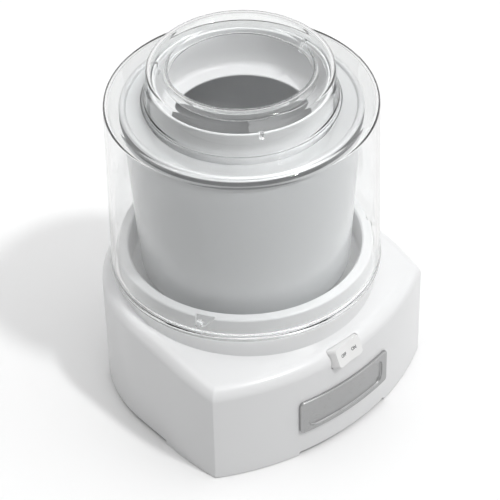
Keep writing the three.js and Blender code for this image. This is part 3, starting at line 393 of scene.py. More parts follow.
def pebbled(name, color, roughness, metallic, grain=0.35, scale=420):
    # Die-cast metal or pressed rubber: a fine pebbled skin with stains.
    finish = Finish(name, Metallic=metallic)
    pebbles = finish.noise(scale, 4, 0.6)
    stains = finish.noise(35, 4, 0.6)
    finish.set(
        Base_Color=finish.shade(stains, darkened(color, 0.72), color),
        Roughness=finish.between(pebbles, roughness - 0.1, roughness + 0.12),
    )
    return finish.bumped(pebbles, grain)


housingWhite = mouldedPlastic("housing_plastic", (0.86, 0.865, 0.87), 0.3, 0.03, 0.25, 0.015)
switchWhite = mouldedPlastic("switch_plastic", (0.87, 0.87, 0.865), 0.28, 0.03, 0.2, 0.015)
bowlWhite = mouldedPlastic("bowl_plastic", (0.7, 0.712, 0.722), 0.22, 0.01, 0.5, 0.008)
paddleWhite = mouldedPlastic("paddle_plastic", (0.83, 0.835, 0.84), 0.34, 0.04, 0.1, 0.02)
gearPlastic = mouldedPlastic("acetal", (0.76, 0.74, 0.68), 0.42, 0.06, 0.0, 0.05)
darkPlastic = mouldedPlastic("dark_plastic", (0.028, 0.029, 0.031), 0.5, 0.16, 0.0, 0.2)
printInk = mouldedPlastic("switch_print", (0.09, 0.095, 0.1), 0.5, 0.05, 0.0, 0.1)
shaftSteel = spunMetal("turned_steel", (0.44, 0.45, 0.46), 0.3, 9000, 0.08)
bushBronze = spunMetal("bush_bronze", (0.45, 0.26, 0.11), 0.38, 7000, 0.1)
plateMetal = brushedMetal("brushed_plate", (0.42, 0.422, 0.424), 0.27, 4, 0.06, 0.9)
castZinc = pebbled("cast_zinc", (0.5, 0.51, 0.52), 0.5, 0.9)
rubber = pebbled("rubber", (0.035, 0.036, 0.038), 0.78, 0.0, 0.25, 700)
coldGel = mouldedPlastic("freezing_gel", (0.45, 0.66, 0.8), 0.55, 0.2, 0.0, 0.15)


def lidPlastic():
    # Clear moulded plastic that lets the lamps through to what is under it.
    finish = Finish("clear_plastic", Transmission_Weight=1.0, IOR=1.49, Base_Color=(0.945, 0.95, 0.95, 1))
    skin = finish.noise(30, 2)
    finish.set(Roughness=finish.between(skin, 0.0, 0.02))
    shadow = finish.node("LightPath", output="Is Shadow Ray")
    clear = finish.node("BsdfTransparent", None, {"Color": (0.965, 0.97, 0.97, 1)})
    finish.mixedWith(clear, shadow)
    return finish.bumped(skin, 0.01)


def copperWinding():
    # Enamelled wire laid round the motor: fine turns seen side by side.
    finish = Finish("copper_winding", Metallic=0.85, Coat_Weight=0.4, Coat_Roughness=0.2)
    low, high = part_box("coil_upper")
    z, radius = finish.heightAndRadius(finish.scaled(shift=(-(low.x + high.x) / 2, -(low.y + high.y) / 2, 0)))
    wander = finish.noise(120, 2)
    turns = ((radius + z) * 5200 + wander * 3).sine() * 0.5 + 0.5
    finish.set(
        Base_Color=finish.shade(turns, (0.18, 0.05, 0.02), (0.55, 0.19, 0.07)),
        Roughness=finish.between(turns, 0.3, 0.55),
    )
    return finish.bumped(turns, 0.5, 0.0003)


def sheetStack():
    # Punched steel sheets, one millimetre thick, stacked along Z.
    finish = Finish("laminations", Metallic=0.85)
    z = finish.node("SeparateXYZ", None, {0: finish.place}, "Z")
    layers = (z * (2 * pi / mm)).sine() * 0.5 + 0.5
    rust = finish.noise(90, 4, 0.6)
    finish.set(
        Base_Color=finish.shade(rust, (0.1, 0.1, 0.105), (0.24, 0.245, 0.25)),
        Roughness=finish.between(layers, 0.38, 0.65),
    )
    return finish.bumped(layers, 0.4)


clearPlastic = lidPlastic()
copper = copperWinding()
laminations = sheetStack()
print("materials ready:", len(bpy.data.materials))


# The base: one outline swept from arcs, inset ring by ring up to the round drum

housing = {
    "rearRadius": 109, "frontY": -112, "frontBulge": 203, "sideStart": -40,
    "cornerX": 105, "cornerRound": 0.7,
    "wall": 3, "wallFoot": 0.6, "shoulder": 11, "shoulderSteps": 9,
    "frontEdge": 88, "edgeRise": 11.5, "edgeDelay": 8, "edgePower": 3,
    "footStart": 91, "footRise": 8.6, "footPower": 1.6, "footGap": 0.25,
    "drumRadius": 98, "ledge": 109.7, "collarRadius": 95.6, "collarTop": 126, "collarRound": 1.5,
    "wellRadius": 87.4, "wellLip": 1.2, "wellFloor": 100, "wellRound": 2,
    "bossRadius": 14, "bossFoot": 97, "bossTop": 104.5, "bossBore": 10,
    "notches": 3, "notchAngle": -61, "notchDepth": 2.3, "notchWidth": 6.4, "notchFloor": 116.2,
    "notchRound": 1.6, "rampWidth": 8,
    "reliefTop": 3.6, "reliefRound": 1.2,
    "reliefs": [(-43.5, 43.5, -130, -60), (-38, 38, 60, 130), (-130, -60, -31, 58), (60, 130, -31, 58)],
    "leadHeight": 28, "leadHole": 6.3,
    "rearSteps": 96, "sideSteps": 10, "cheekSteps": 12, "frontSteps": 60,
}
frontCentre = housing["frontY"] + housing["frontBulge"]
cornerY = frontCentre - sqrt(housing["frontBulge"] ** 2 - housing["cornerX"] ** 2)
cheekTuck = housing["rearRadius"] - housing["cornerX"]
cheekRadius = (cheekTuck ** 2 + (housing["sideStart"] - cornerY) ** 2) / (2 * cheekTuck)


def carried(bm, point, centre, angle, steps):
    # Carries a point round a centre, and gives back the points it leaves.
    count = len(bm.verts)
    bmesh.ops.spin(bm, geom=[point], cent=(*centre, 0), axis=(0, 0, 1), angle=angle, steps=steps)
    return list(bm.verts)[count:]


def stepped(bm, point, distance, steps):
    # The same along a straight line in Y.
    line = [point]
    for step in range(steps):
        line.append(bm.verts.new(line[-1].co + Vector((0, distance / steps, 0))))
        bm.edges.new(line[-2:])
    return line[1:]


def cornerAt(inset):
    # Where the front's arc meets the cheek's, some way inside the outline.
    side = Vector((housing["rearRadius"] - cheekRadius, housing["sideStart"]))
    gap = Vector((0, frontCentre)) - side
    cheek, front = cheekRadius - inset, housing["frontBulge"] - inset
    along = (cheek ** 2 - front ** 2 + gap.length_squared) / (2 * gap.length)
    across = sqrt(cheek ** 2 - along ** 2)
    way = gap.normalized()
    return side + way * along + Vector((way.y, -way.x)) * across


def planRing(bm, inset):
    # Round rear, straight sides, slightly bulged cheeks and a bulged front, as one loop of points.
    h = housing
    rear, sideY, sideSteps = h["rearRadius"] - inset, h["sideStart"], h["sideSteps"]
    corner = cornerAt(inset)
    cheekAngle = asin((sideY - corner.y) / (cheekRadius - inset))
    frontAngle = 2 * asin(corner.x / (h["frontBulge"] - inset))
    cheekX = h["rearRadius"] - cheekRadius
    ring = [bm.verts.new((rear, 0, 0))]
    ring += carried(bm, ring[-1], (0, 0), pi, h["rearSteps"])
    ring += stepped(bm, ring[-1], sideY, sideSteps)
    ring += carried(bm, ring[-1], (-cheekX, sideY), cheekAngle, h["cheekSteps"])
    ring += carried(bm, ring[-1], (0, frontCentre), frontAngle, h["frontSteps"])
    ring += carried(bm, ring[-1], (cheekX, sideY), cheekAngle, h["cheekSteps"])
    ring += stepped(bm, ring[-1], -sideY * (sideSteps - 1) / sideSteps, sideSteps - 1)
    bm.edges.new((ring[-1], ring[0]))
    return ring


def circleRing(bm, ring, radius, height):
    # A circle whose points face the points of another ring.
    sides = [point.co.xy.normalized() * radius for point in ring]
    points = [bm.verts.new((*side, height)) for side in sides]
    for pair in inLoop(points):
        bm.edges.new(pair)
    return points


def bridged(bm, rings):
    for pair in zip(rings, rings[1:]):
        loops = [bm.edges.get(ends) for ring in pair for ends in inLoop(ring)]
        bmesh.ops.bridge_loops(bm, edges=loops)


def climb(y, start, power):
    # Share of a rise reached on the way from a start to the rear.
    share = min(max((y - start) / (housing["rearRadius"] - start), 0), 1)
    return 1 - (1 - share) ** power


def edgeHeight(y):
    h = housing
    return h["frontEdge"] + h["edgeRise"] * climb(y, cornerY + h["edgeDelay"], h["edgePower"])


def footHeight(y):
    h = housing
    climbed = h["footRise"] * climb(y, -h["drumRadius"], h["footPower"])
    return max(h["footStart"] + climbed, edgeHeight(y) + h["footGap"])


def skinRings(bm, inset, sections):
    # The rings of one skin of the wall, from its foot up over the shoulder and down into the well.
    h = housing
    size = h["shoulder"] - inset
    rings = [planRing(bm, inset) for level in range(2)]
    turns = [radians(90 * step / h["shoulderSteps"]) for step in range(h["shoulderSteps"] + 1)]
    rings += [planRing(bm, inset + size * (1 - cos(turn))) for turn in turns[1:]]
    plan = [Vector(point.co) for point in rings[-1]]
    for point in rings[0]:
        point.co.z = h["wallFoot"] + inset
    for ring, turn in zip(rings[1:], turns):
        for point, place in zip(ring, plan):
            point.co.z = edgeHeight(place.y) - inset - size * (1 - sin(turn))
    rings.append(circleRing(bm, rings[-1], h["drumRadius"] - inset, 0))
    for point in rings[-1]:
        point.co.z = footHeight(point.co.y) - inset
    return rings + [circleRing(bm, rings[-1], radius, height) for radius, height, *corner in sections]


def housingShell():
    h, w = housing, housing["wall"]
    well = h["wellRadius"]
    outside = [
        (h["drumRadius"], h["ledge"], 0.5), (h["collarRadius"], h["ledge"], 0.3),
        (h["collarRadius"], h["collarTop"], h["collarRound"]),
        (well + h["wellLip"], h["collarTop"], 0.4), (well, h["collarTop"] - h["wellLip"], 0.4),
        (well, h["wellFloor"], h["wellRound"]), (h["bossBore"] + 2, h["wellFloor"]),
    ]
    inside = [
        (h["drumRadius"] - w, h["ledge"] - w, 1), (h["collarRadius"] - w, h["ledge"] - w, 0.6),
        (h["collarRadius"] - w, h["collarTop"] - w, 0.8), (well + w, h["collarTop"] - w, 0.8),
        (well + w, h["wellFloor"] - w, 2), (h["bossBore"] + 2, h["wellFloor"] - w),
    ]
    bm = bmesh.new()
    outerRings, innerRings = skinRings(bm, 0, outside), skinRings(bm, w, inside)
    bridged(bm, outerRings)
    bridged(bm, innerRings)
    bridged(bm, [outerRings[0], innerRings[0]])
    bridged(bm, [outerRings[-1], innerRings[-1]])
    for point in innerRings[0]:
        point.co.z = h["wallFoot"]
    bmesh.ops.recalc_face_normals(bm, faces=bm.faces)
    for radius, height, *corner in outside + inside:
        if corner:
            rounded(bm, circleAt(bm, radius, height), corner[0])
    farX, farY = h["cornerX"] - 20, h["sideStart"] - 20
    corners = [
        edge for edge in sharp(bm, 14)
        if rise(edge) > 0.6 and all(abs(point.co.x) > farX and point.co.y < farY for point in edge.verts)
    ]
    rounded(bm, corners, h["cornerRound"], 3)
    return bm


def wrapped(bm, radius, centreY, spacing, turn=0.0):
    # Bends a flat shape (x along, y up, z out) round an upright cylinder.
    reach = max(abs(point.co.x) for point in bm.verts)
    cuts = ceil(2 * reach / spacing)
    for cut in range(1, cuts):
        place = (-reach + 2 * reach * cut / cuts, 0, 0)
        geom = bm.verts[:] + bm.edges[:] + bm.faces[:]
        bmesh.ops.bisect_plane(bm, geom=geom, plane_co=place, plane_no=(1, 0, 0), dist=0.0001)
    for point in bm.verts:
        angle = point.co.x / radius + radians(turn)
        out = radius + point.co.z
        point.co = (out * sin(angle), centreY - out * cos(angle), point.co.y)
    return bm


def bayonetCut(turn):
    # Mouth of a bayonet notch: upright on one side, with a lead-in ramp on the other.
    h = housing
    half = h["notchWidth"] / 2
    above = h["collarTop"] + 2
    slant = h["rampWidth"] / (h["collarTop"] - h["notchFloor"])
    outline = [
        (-half, h["notchFloor"]), (half, h["notchFloor"]),
        (half + slant * (above - h["notchFloor"]), above), (-half, above),
    ]
    bm = plate(outline, -h["notchDepth"], h["notchDepth"])
    rounded(bm, [edge for edge in uprights(bm) if edge.verts[0].co.y < above - 1], h["notchRound"], 4)
    return wrapped(bm, h["collarRadius"], 0, 1.6, turn)


rockerPlace = {
    "tilt": 25, "pinDepth": 6, "endRadius": 15.5, "slotRadius": 15.8, "slotWidth": 15.7, "corner": 2.6,
}
tiltAngle = radians(rockerPlace["tilt"])
rockerFrame = Matrix.Translation((
    0, housing["frontY"] + housing["shoulder"] * (1 - cos(tiltAngle)),
    housing["frontEdge"] - housing["shoulder"] * (1 - sin(tiltAngle)),
)) @ Matrix.Rotation(pi / 2 - tiltAngle, 4, "X")
lying = Matrix.Rotation(pi / 2, 4, "X")  # carries Z to the front
pinPlace = Matrix.Translation((0, 0, -rockerPlace["pinDepth"]))


def rockerDrum(radius, width):
    # The rocker and its slot are both cut from a short drum round the pin.
    bm = rod(radius, width, pinPlace @ lying, 96)
    rims = [edge for edge in bm.edges if abs(edge.verts[0].co.y - edge.verts[1].co.y) < 0.01]
    rounded(bm, rims, rockerPlace["corner"], 4)
    return bm


posts = {
    "bore": 1.9,
    "frame": [(45, -45), (40, 45), (-45, 50), (-21.94, -79.97)],
    "frameRadius": 5, "frameFoot": 69.3, "frameTop": 98.5, "frameBore": 9,
    "cover": [(x * side, y) for x, y in ((92, -64), (61.74, 76.24)) for side in (-1, 1)],
    "coverRadius": 4.5, "coverFoot": 5.8, "coverBore": 13.5,
}


def screwPost(x, y, radius, foot, top, depth):
    # A round post with a blind hole for its screw.
    bore, hole = posts["bore"], foot + depth
    post = turned([(bore, foot), (radius, foot), (radius, top), (0, top), (0, hole), (bore, hole)], 24)
    return moved(post, Matrix.Translation((x, y, 0)))


def housingBody():
    h, p = housing, posts
    boss = turned([
        (h["bossBore"], h["bossFoot"]), (h["bossRadius"], h["bossFoot"]),
        (h["bossRadius"], h["bossTop"], 0.6), (h["bossBore"], h["bossTop"], 0.3),
    ], 72)
    standing = bmesh.new()
    for x, y in p["frame"]:
        absorbed(standing, screwPost(x, y, p["frameRadius"], p["frameFoot"], p["frameTop"], p["frameBore"]))
    for x, y in p["cover"]:
        top = edgeHeight(y) - h["wall"] / 2
        absorbed(standing, screwPost(x, y, p["coverRadius"], p["coverFoot"], top, p["coverBore"]))
    cuts = moved(rockerDrum(rockerPlace["slotRadius"], rockerPlace["slotWidth"]), rockerFrame)
    for turn in spread(h["notches"], h["notchAngle"]):
        absorbed(cuts, bayonetCut(turn))
    for x0, x1, y0, y1 in h["reliefs"]:
        absorbed(cuts, block((x0, y0, -1), (x1, y1, h["reliefTop"]), h["reliefRound"]))
    leadPlace = Matrix.Translation((0, h["rearRadius"], h["leadHeight"]))
    absorbed(cuts, rod(h["leadHole"], 18, leadPlace @ lying, 48))
    return combined(withAll(housingShell(), [boss, standing]), cuts, "DIFFERENCE")


made(housingBody(), "housing_body", "base", housingWhite, ["base_housing"], 32)
print("base done")


# The lid

lid = {
    "footInner": 96.1, "footOuter": 101.8, "foot": 110, "beadTop": 112.6, "waist": 100.84, "waistTop": 113.5,
    "wallTop": 98.6, "top": 254.8, "topRound": 5, "thickness": 2.6,
    "collar": 69.8, "collarFillet": 3, "neck": 67.4, "neckKink": 269.8, "neckTop": 66.6, "spoutTop": 285,
    "brow": 7, "mouth": 51.6, "mouthRound": 6.2, "bore": 50.8, "boreFoot": 271.5, "spoutWall": 2.4,
    "pegRadius": 2.6, "pegHeight": 119.8, "pegInner": 93.8, "pegOuter": 100.2, "pegs": 3, "pegAngle": -61,
    "keys": 3, "keyAngle": -28, "keyWidth": 2.4, "keyInner": 61.7, "keyOuter": 66.2,
    "keyLow": 265, "keyTop": 269.6,
}


def lidBody():
    s, t, w = lid, lid["thickness"], lid["spoutWall"]
    bm = turned([
        (s["footInner"], s["foot"], 0.3), (s["footOuter"], s["foot"], 0.6),
        (s["footOuter"], s["beadTop"], 0.7), (s["waist"], s["waistTop"], 0.4),
        (s["wallTop"], s["top"], s["topRound"]), (s["collar"], s["top"], s["collarFillet"]),
        (s["neck"], s["neckKink"], 2), (s["neckTop"], s["spoutTop"], s["brow"]),
        (s["mouth"], s["spoutTop"], s["mouthRound"]),
        (s["bore"], s["boreFoot"], 0.8), (s["bore"] + w, s["boreFoot"], 0.8),
        (s["mouth"] + w, s["spoutTop"] - w, 4), (s["neckTop"] - w, s["spoutTop"] - w, 4.6),
        (s["neck"] - w, s["neckKink"] - w, 2), (s["collar"] - w, s["top"] - t, 1.2),
        (s["wallTop"] - t, s["top"] - t, 2.6), (s["waist"] - t, s["waistTop"] + 1.7, 1),
        (s["footInner"], s["beadTop"], 0.3),
    ], 200)
    solids = []
    length = s["pegOuter"] - s["pegInner"]
    place = Matrix.Translation(((s["pegInner"] + s["pegOuter"]) / 2, 0, s["pegHeight"]))
    for turn in spread(s["pegs"], s["pegAngle"]):
        peg = rod(s["pegRadius"], length, place @ Matrix.Rotation(pi / 2, 4, "Y"))
        tip = [edge for edge in peg.edges if max(point.co.x for point in edge.verts) < s["pegInner"] + 1]
        rounded(peg, tip, 0.7, 3)
        solids.append(moved(peg, angled(turn)))
    half = s["keyWidth"] / 2
    for turn in spread(s["keys"], s["keyAngle"]):
        key = block((s["keyInner"], -half, s["keyLow"]), (s["keyOuter"], half, s["keyTop"]), 0.4)
        solids.append(moved(key, angled(turn)))
    return withAll(bm, solids)


made(lidBody(), "lid_dome", "lid", clearPlastic, ["lid"], 40)
print("lid done")


# The freezer bowl: white shell, spun liner with a rolled rim, cold gel between them

bowl = {
    "bottom": 103, "pocket": 27, "pocketRoof": 116.5,
    "shellFoot": 78.0, "shellTop": 85.9, "shellHeight": 244.2, "footRound": 12, "wall": 2.5,
    "floor": 122, "linerFoot": 62.07, "linerTaper": 3.2, "linerWall": 1.5, "linerRound": 14,
    "mouth": 69, "rimTop": 246, "rim": 87.4, "band": 240.2, "bandWall": 1.2, "rimShadeColor": (0.2, 0.204, 0.208),
    "beadWidth": 4.6, "beadRise": 2.4, "beadRound": 1.6,
}


def bowlOuter():
    b, w = bowl, bowl["wall"]
    return turned([
        (b["pocket"], b["bottom"], 0.8), (b["shellFoot"], b["bottom"], b["footRound"]),
        (b["shellTop"], b["shellHeight"], 0.4), (b["shellTop"] - w, b["shellHeight"], 0.4),
        (b["shellFoot"] - w, b["bottom"] + w, b["footRound"] - w), (b["pocket"] + w, b["bottom"] + w, 0.8),
        (b["pocket"] + w, b["pocketRoof"] + w, 0.8), (0, b["pocketRoof"] + w), (0, b["pocketRoof"]),
        (b["pocket"], b["pocketRoof"], 0.8),
    ], 200)


def bowlLiner():
    b, w = bowl, bowl["linerWall"]
    under, bead = b["rimTop"] - w, b["rimTop"] + b["beadRise"]
    inBand, inBead = b["rim"] - b["bandWall"], b["rim"] - b["beadWidth"]
    return turned([
        (0, b["floor"] - w), (b["linerFoot"] + w, b["floor"] - w, b["linerRound"] + w),
        (b["mouth"] + w, under, 1.2), (inBand, under, 0.6), (inBand, b["band"], 0.3),
        (b["rim"], b["band"], 0.4), (b["rim"], bead, b["beadRound"]), (inBead, bead, b["beadRound"]),
        (inBead, b["rimTop"], 0.7), (b["mouth"], b["rimTop"], 1.6),
        (b["linerFoot"], b["floor"], b["linerRound"]), (0, b["floor"]),
    ], 200)


# Painted shade: the outside of the rolled rim, below the bead's top, is coloured dark grey.
rimShade = (bowl["rim"] - 0.6, bowl["rimTop"] + 0.6, bowl["rimShadeColor"])
linerMetal = spunMetal("spun_aluminium", (0.76, 0.765, 0.77), 0.42, 5200, 0.06, 0.7, rimShade)
made(bowlOuter(), "bowl_outer", "bowl", bowlWhite, ["bowl_shell"], 40)
made(bowlLiner(), "bowl_lining", "bowl", linerMetal, ["bowl_liner"], 40)
print("bowl done")


# The paddle: an open ring with a flange at its foot, two upright blades and a bar along the bowl's floor

paddle = {
    "ring": 65.2, "rim": 64.2, "top": 269.5, "wall": 2.2, "foot": 234, "flange": 2, "mouth": 50.6, "cove": 4,
    "ledge": 265.2, "ledgeWidth": 0.8, "bladeOffset": 15.2, "bladeTurn": -41.3,
    "bladeThickness": 3, "bladeEdge": 0.45,
    "freeTop": 2.4, "freeFoot": 20, "floorGap": 2.5, "wallGap": 3, "barHeight": 15,
    "ribs": 3, "ribAngle": -28.5, "ribThickness": 1.1, "ribReach": 7, "ribDepth": 8,
    "keyWidth": 3.4, "keyInner": 61.2, "keyOuter": 70, "keyFloor": 264.5,
    # the blade's outline: its lower outer corner, its upper end inside the ring, and its inner side
    "heel": 8, "heelRise": 16, "heelRound": 9, "tipIn": 1.5, "tipDrop": 2, "tuck": 3,
    "hipIn": 8, "hipDrop": 7, "hipRound": 6, "toe": 6,
    "eyeTop": 14, "eyeFoot": 14, "eyeRound": 8, "kneeRound": 10,
}


def linerRadius(z):
    return bowl["mouth"] - (bowl["rimTop"] - z) * tan(radians(bowl["linerTaper"]))


def slab(outline, thickness, edge):
    # A flat outline of (along, height, rounding) corners as an upright slab on the X axis.
    bm = plate([(along, z) for along, z, size in outline], -thickness / 2, thickness / 2)
    for along, z, size in outline:
        if size:
            corner = [
                line for line in bm.edges
                if all(hypot(point.co.x - along, point.co.y - z) < 0.01 for point in line.verts)
            ]
            rounded(bm, corner, size, 6)
    rounded(bm, [line for line in bm.edges if rise(line) < 0.01], edge, 2)
    return moved(bm, lying)


def bladeSlab():
    # One blade, from the end of the floor bar out to the bowl's wall and up into the ring.
    p = paddle
    offset = p["bladeOffset"]
    foot = p["foot"]
    low = bowl["floor"] + p["floorGap"]
    half = p["bladeThickness"] / 2

    def reach(z):
        return sqrt((linerRadius(z) - p["wallGap"]) ** 2 - (offset + half) ** 2)

    heel = low + p["heelRise"]
    barTop = low + p["barHeight"]
    under = foot + p["flange"] / 2
    inRing = sqrt((p["mouth"] + 1) ** 2 - offset ** 2)
    outline = [
        (-half, low, 0), (reach(low) - p["heel"], low, 0), (reach(heel), heel, p["heelRound"]),
        (reach(foot) - p["tipIn"], foot - p["tipDrop"], 0), (reach(foot) - p["tuck"], under, 0),
        (inRing, under, 0), (inRing - p["hipIn"], foot - p["hipDrop"], p["hipRound"]),
        (p["freeTop"], foot - p["eyeTop"], p["eyeRound"]),
        (p["freeFoot"], barTop + p["eyeFoot"], p["kneeRound"]),
        (p["freeTop"] + p["toe"], barTop, p["eyeRound"]), (-half, barTop, 0),
    ]
    return moved(slab(outline, p["bladeThickness"], p["bladeEdge"]), Matrix.Translation((0, offset, 0)))


def floorBar():
    p = paddle
    end = p["bladeOffset"] + p["bladeThickness"] / 2
    low = bowl["floor"] + p["floorGap"]
    high = low + p["barHeight"]
    outline = [(-end, low, 0), (end, low, 0), (end, high, 0), (-end, high, 0)]
    bar = slab(outline, p["bladeThickness"], p["bladeEdge"])
    return moved(bar, Matrix.Rotation(pi / 2, 4, "Z"))


def paddleBody():
    p = paddle
    w = p["wall"]
    crown = turned([
        (p["mouth"], p["foot"], 0.8), (p["ring"], p["foot"], 1), (p["rim"], p["top"], w * 0.45),
        (p["rim"] - w, p["top"], w * 0.45), (p["rim"] - w - 0.1, p["ledge"], 0.2),
        (p["rim"] - w - p["ledgeWidth"], p["ledge"], 0.3),
        (p["ring"] - w - p["ledgeWidth"], p["foot"] + p["flange"], p["cove"]),
        (p["mouth"], p["foot"] + p["flange"], 0.9),
    ], 200)
    turn = Matrix.Rotation(radians(p["bladeTurn"]), 4, "Z")
    blades = [moved(bladeSlab(), turn @ Matrix.Rotation(side, 4, "Z")) for side in (0, pi)]
    crown = withAll(crown, [*blades, moved(floorBar(), turn)])
    ribs, keyways = bmesh.new(), bmesh.new()
    root, level = p["rim"] - w / 2, p["ledge"]
    tip = root - p["ribReach"]
    side, half = p["ribThickness"] / 2, p["keyWidth"] / 2
    for degrees in spread(p["ribs"], p["ribAngle"]):
        turn = angled(degrees)
        fin = [(root, level - p["ribDepth"]), (root, level), (tip, level), (tip, level - 1)]
        rib = plate(fin, -side, side)
        rounded(rib, rib.edges[:], 0.2, 2)
        absorbed(ribs, moved(rib, turn @ lying))
        keyway = block((p["keyInner"], -half, p["keyFloor"]), (p["keyOuter"], half, p["top"] + 5.5), 0.3)
        absorbed(keyways, moved(keyway, turn))
    return combined(combined(crown, keyways, "DIFFERENCE"), ribs, "UNION")


made(paddleBody(), "mixing_paddle", "paddle", paddleWhite, ["paddle"], 35)
print("paddle done")


# The nameplate: a bent plate with a rolled edge round a dished, bare field

plateShape = {
    "halfWidth": 43.7, "bottom": 24.3, "top": 55, "radius": 203.3, "thickness": 2.3,
    "corner": 3.2, "roll": 1.1, "sideBorder": 6.3, "edgeBorder": 4,
    "fieldCorner": 7.5, "dish": 1.5, "cove": 0.9, "rim": 0.5,
}


def nameplateBody():
    n = plateShape
    half = n["halfWidth"]
    bm = tablet((-half, n["bottom"], 0), (half, n["top"], n["thickness"]), n["corner"], 7)
    rounded(bm, [edge for edge in bm.edges if min(heights(edge)) > 1], n["roll"], 4)
    half -= n["sideBorder"]
    low = (-half, n["bottom"] + n["edgeBorder"], n["thickness"] - n["dish"])
    field = tablet(low, (half, n["top"] - n["edgeBorder"], 8), n["fieldCorner"], 7)
    rounded(field, [edge for edge in field.edges if max(heights(edge)) < n["thickness"]], n["cove"], 5)
    bm = combined(bm, field, "DIFFERENCE")
    rim = [edge for edge in sharp(bm, 30) if min(heights(edge)) > n["thickness"] - 0.01]
    rounded(bm, rim, n["rim"], 2)
    return wrapped(bm, n["radius"], frontCentre, 2.5)


made(nameplateBody(), "name_plate", "base", plateMetal, ["nameplate"], 30)
print("nameplate done")


# The switch: a rocker with its two ends marked, tipped to ON

rocker = {
    "height": 15, "proud": 1.5, "swing": 7.5, "face": 4.5, "skirt": 7, "plate": 2.6, "wall": 0.8,
    "hollow": 12.5, "stem": 6, "stemHeight": 9.2, "stemDepth": 9.4, "pin": 1.2, "pinBore": 1.5,
    "edge": 0.8, "valley": 1.6,
    "letters": 3.5, "letterWidth": 0.9, "letterWeight": 0.1, "letterDepth": 0.12, "letterSpread": 5.6,
}
rockerSwing = Matrix.Rotation(radians(rocker["swing"]), 4, "Y")
rockerTurn = rockerFrame @ pinPlace @ rockerSwing @ pinPlace.inverted()


def rockerBody():
    # A hollow cap with a shallow valley across its middle, on a stem that turns on the pin.
    r = rocker
    ends = 20  # past both ends of the drum
    top = r["proud"] + ends * tan(radians(r["face"]))
    outline = [(-ends, -r["skirt"]), (ends, -r["skirt"]), (ends, top), (0, r["proud"]), (-ends, top)]
    trim = plate(outline, -r["height"], r["height"])
    valley = [
        edge for edge in trim.edges
        if all(abs(point.co.x) < 0.01 and point.co.y > 0 for point in edge.verts)
    ]
    rounded(trim, valley, r["valley"], 4)
    cap = combined(rockerDrum(rockerPlace["endRadius"], r["height"]), moved(trim, lying), "INTERSECT")
    rounded(cap, [edge for edge in sharp(cap, 40) if min(heights(edge)) > 0], r["edge"], 3)
    side, half = r["height"] / 2 - r["wall"], r["stemHeight"] / 2
    hollow = block((-r["hollow"], -side, -ends), (r["hollow"], side, -r["plate"]), 0.4)
    stem = block((-r["stem"], -half, -r["stemDepth"]), (r["stem"], half, -1), 0.4)
    body = combined(combined(cap, hollow, "DIFFERENCE"), stem, "UNION")
    hole = rod(r["pinBore"], 11, pinPlace @ lying, 24)
    return moved(combined(body, hole, "DIFFERENCE"), rockerTurn)


def switchWord(word, side):
    # One word, laid on its half of the rocker.
    curve = bpy.data.curves.new(word, "FONT")
    curve.body = word
    curve.size = rocker["letters"]
    curve.align_x = "CENTER"
    curve.align_y = "CENTER"
    curve.extrude = rocker["letterDepth"] / 2
    curve.resolution_u = 6
    curve.offset = rocker["letterWeight"]
    writing = bpy.data.objects.new(word, curve)
    scene.collection.objects.link(writing)
    bm = evaluated(writing)
    slope = Matrix.Rotation(radians(-rocker["face"]) * side, 4, "Y")
    narrowed = Matrix.Diagonal((rocker["letterWidth"], 1, 1, 1))
    along = Matrix.Translation((rocker["letterSpread"] * side, 0, 0)) @ narrowed
    return moved(bm, rockerTurn @ Matrix.Translation((0, 0, rocker["proud"])) @ slope @ along)


made(rockerBody(), "rocker_button", "rocker", switchWhite, ["rocker_switch"], 35)
made(switchWord("OFF", -1), "off_mark", "rocker", printInk, (), 30, 0.001)
made(switchWord("ON", 1), "on_mark", "rocker", printInk, (), 30, 0.001)
print("switch done")


# The coupling under the bowl, and the shaft that turns it

drive = {
    "hubRadius": 24, "hubTop": 109.7, "hubUnder": 107.1, "skirtEnd": 100.9, "skirtWall": 3, "bore": 6.3,
    "lugs": 3, "lugTop": 113.2, "lugWidth": 5, "lugInner": 10, "lugOuter": 23.2,
    "ringLow": 113.5, "ringTop": 116.2, "ringOuter": 26.7, "ringInner": 10,
    "ringLugLow": 110, "ringLugInner": 12,
    "shaftRadius": 6, "shaftFoot": 63, "shaftTop": 112.2,
    "collarRadius": 9, "collarFoot": 71.2, "collarTop": 79.7,
    "bushRadius": 9.7, "bushFoot": 97, "bushTop": 104.5,
    "sealRadius": 13.7, "sealFoot": 104.8, "sealTop": 106.8, "sealLip": 9, "sealLipTop": 106.2,
}


def lugsBetween(low, high, inner, turn):
    d = drive
    lugs = []
    for degrees in spread(d["lugs"], turn):
        lug = block((inner, -d["lugWidth"] / 2, low), (d["lugOuter"], d["lugWidth"] / 2, high), 0.6)
        lugs.append(moved(lug, angled(degrees)))
    return lugs


def driveHub():
    d = drive
    inner = d["hubRadius"] - d["skirtWall"]
    hub = turned([
        (d["bore"], d["hubUnder"], 0.2), (inner, d["hubUnder"], 0.6), (inner, d["skirtEnd"], 0.3),
        (d["hubRadius"], d["skirtEnd"], 0.4), (d["hubRadius"], d["hubTop"], 0.8),
        (d["bore"], d["hubTop"], 0.4),
    ], 96)
    return withAll(hub, lugsBetween(d["hubTop"] - 1, d["lugTop"], d["lugInner"], 0))


def bowlRing():
    d = drive
    ring = turned([
        (d["ringInner"], d["ringLow"], 0.4), (d["ringOuter"], d["ringLow"], 0.4),
        (d["ringOuter"], d["ringTop"], 0.4), (d["ringInner"], d["ringTop"], 0.4),
    ], 96)
    return withAll(ring, lugsBetween(d["ringLugLow"], d["ringLow"] + 1, d["ringLugInner"], 60))


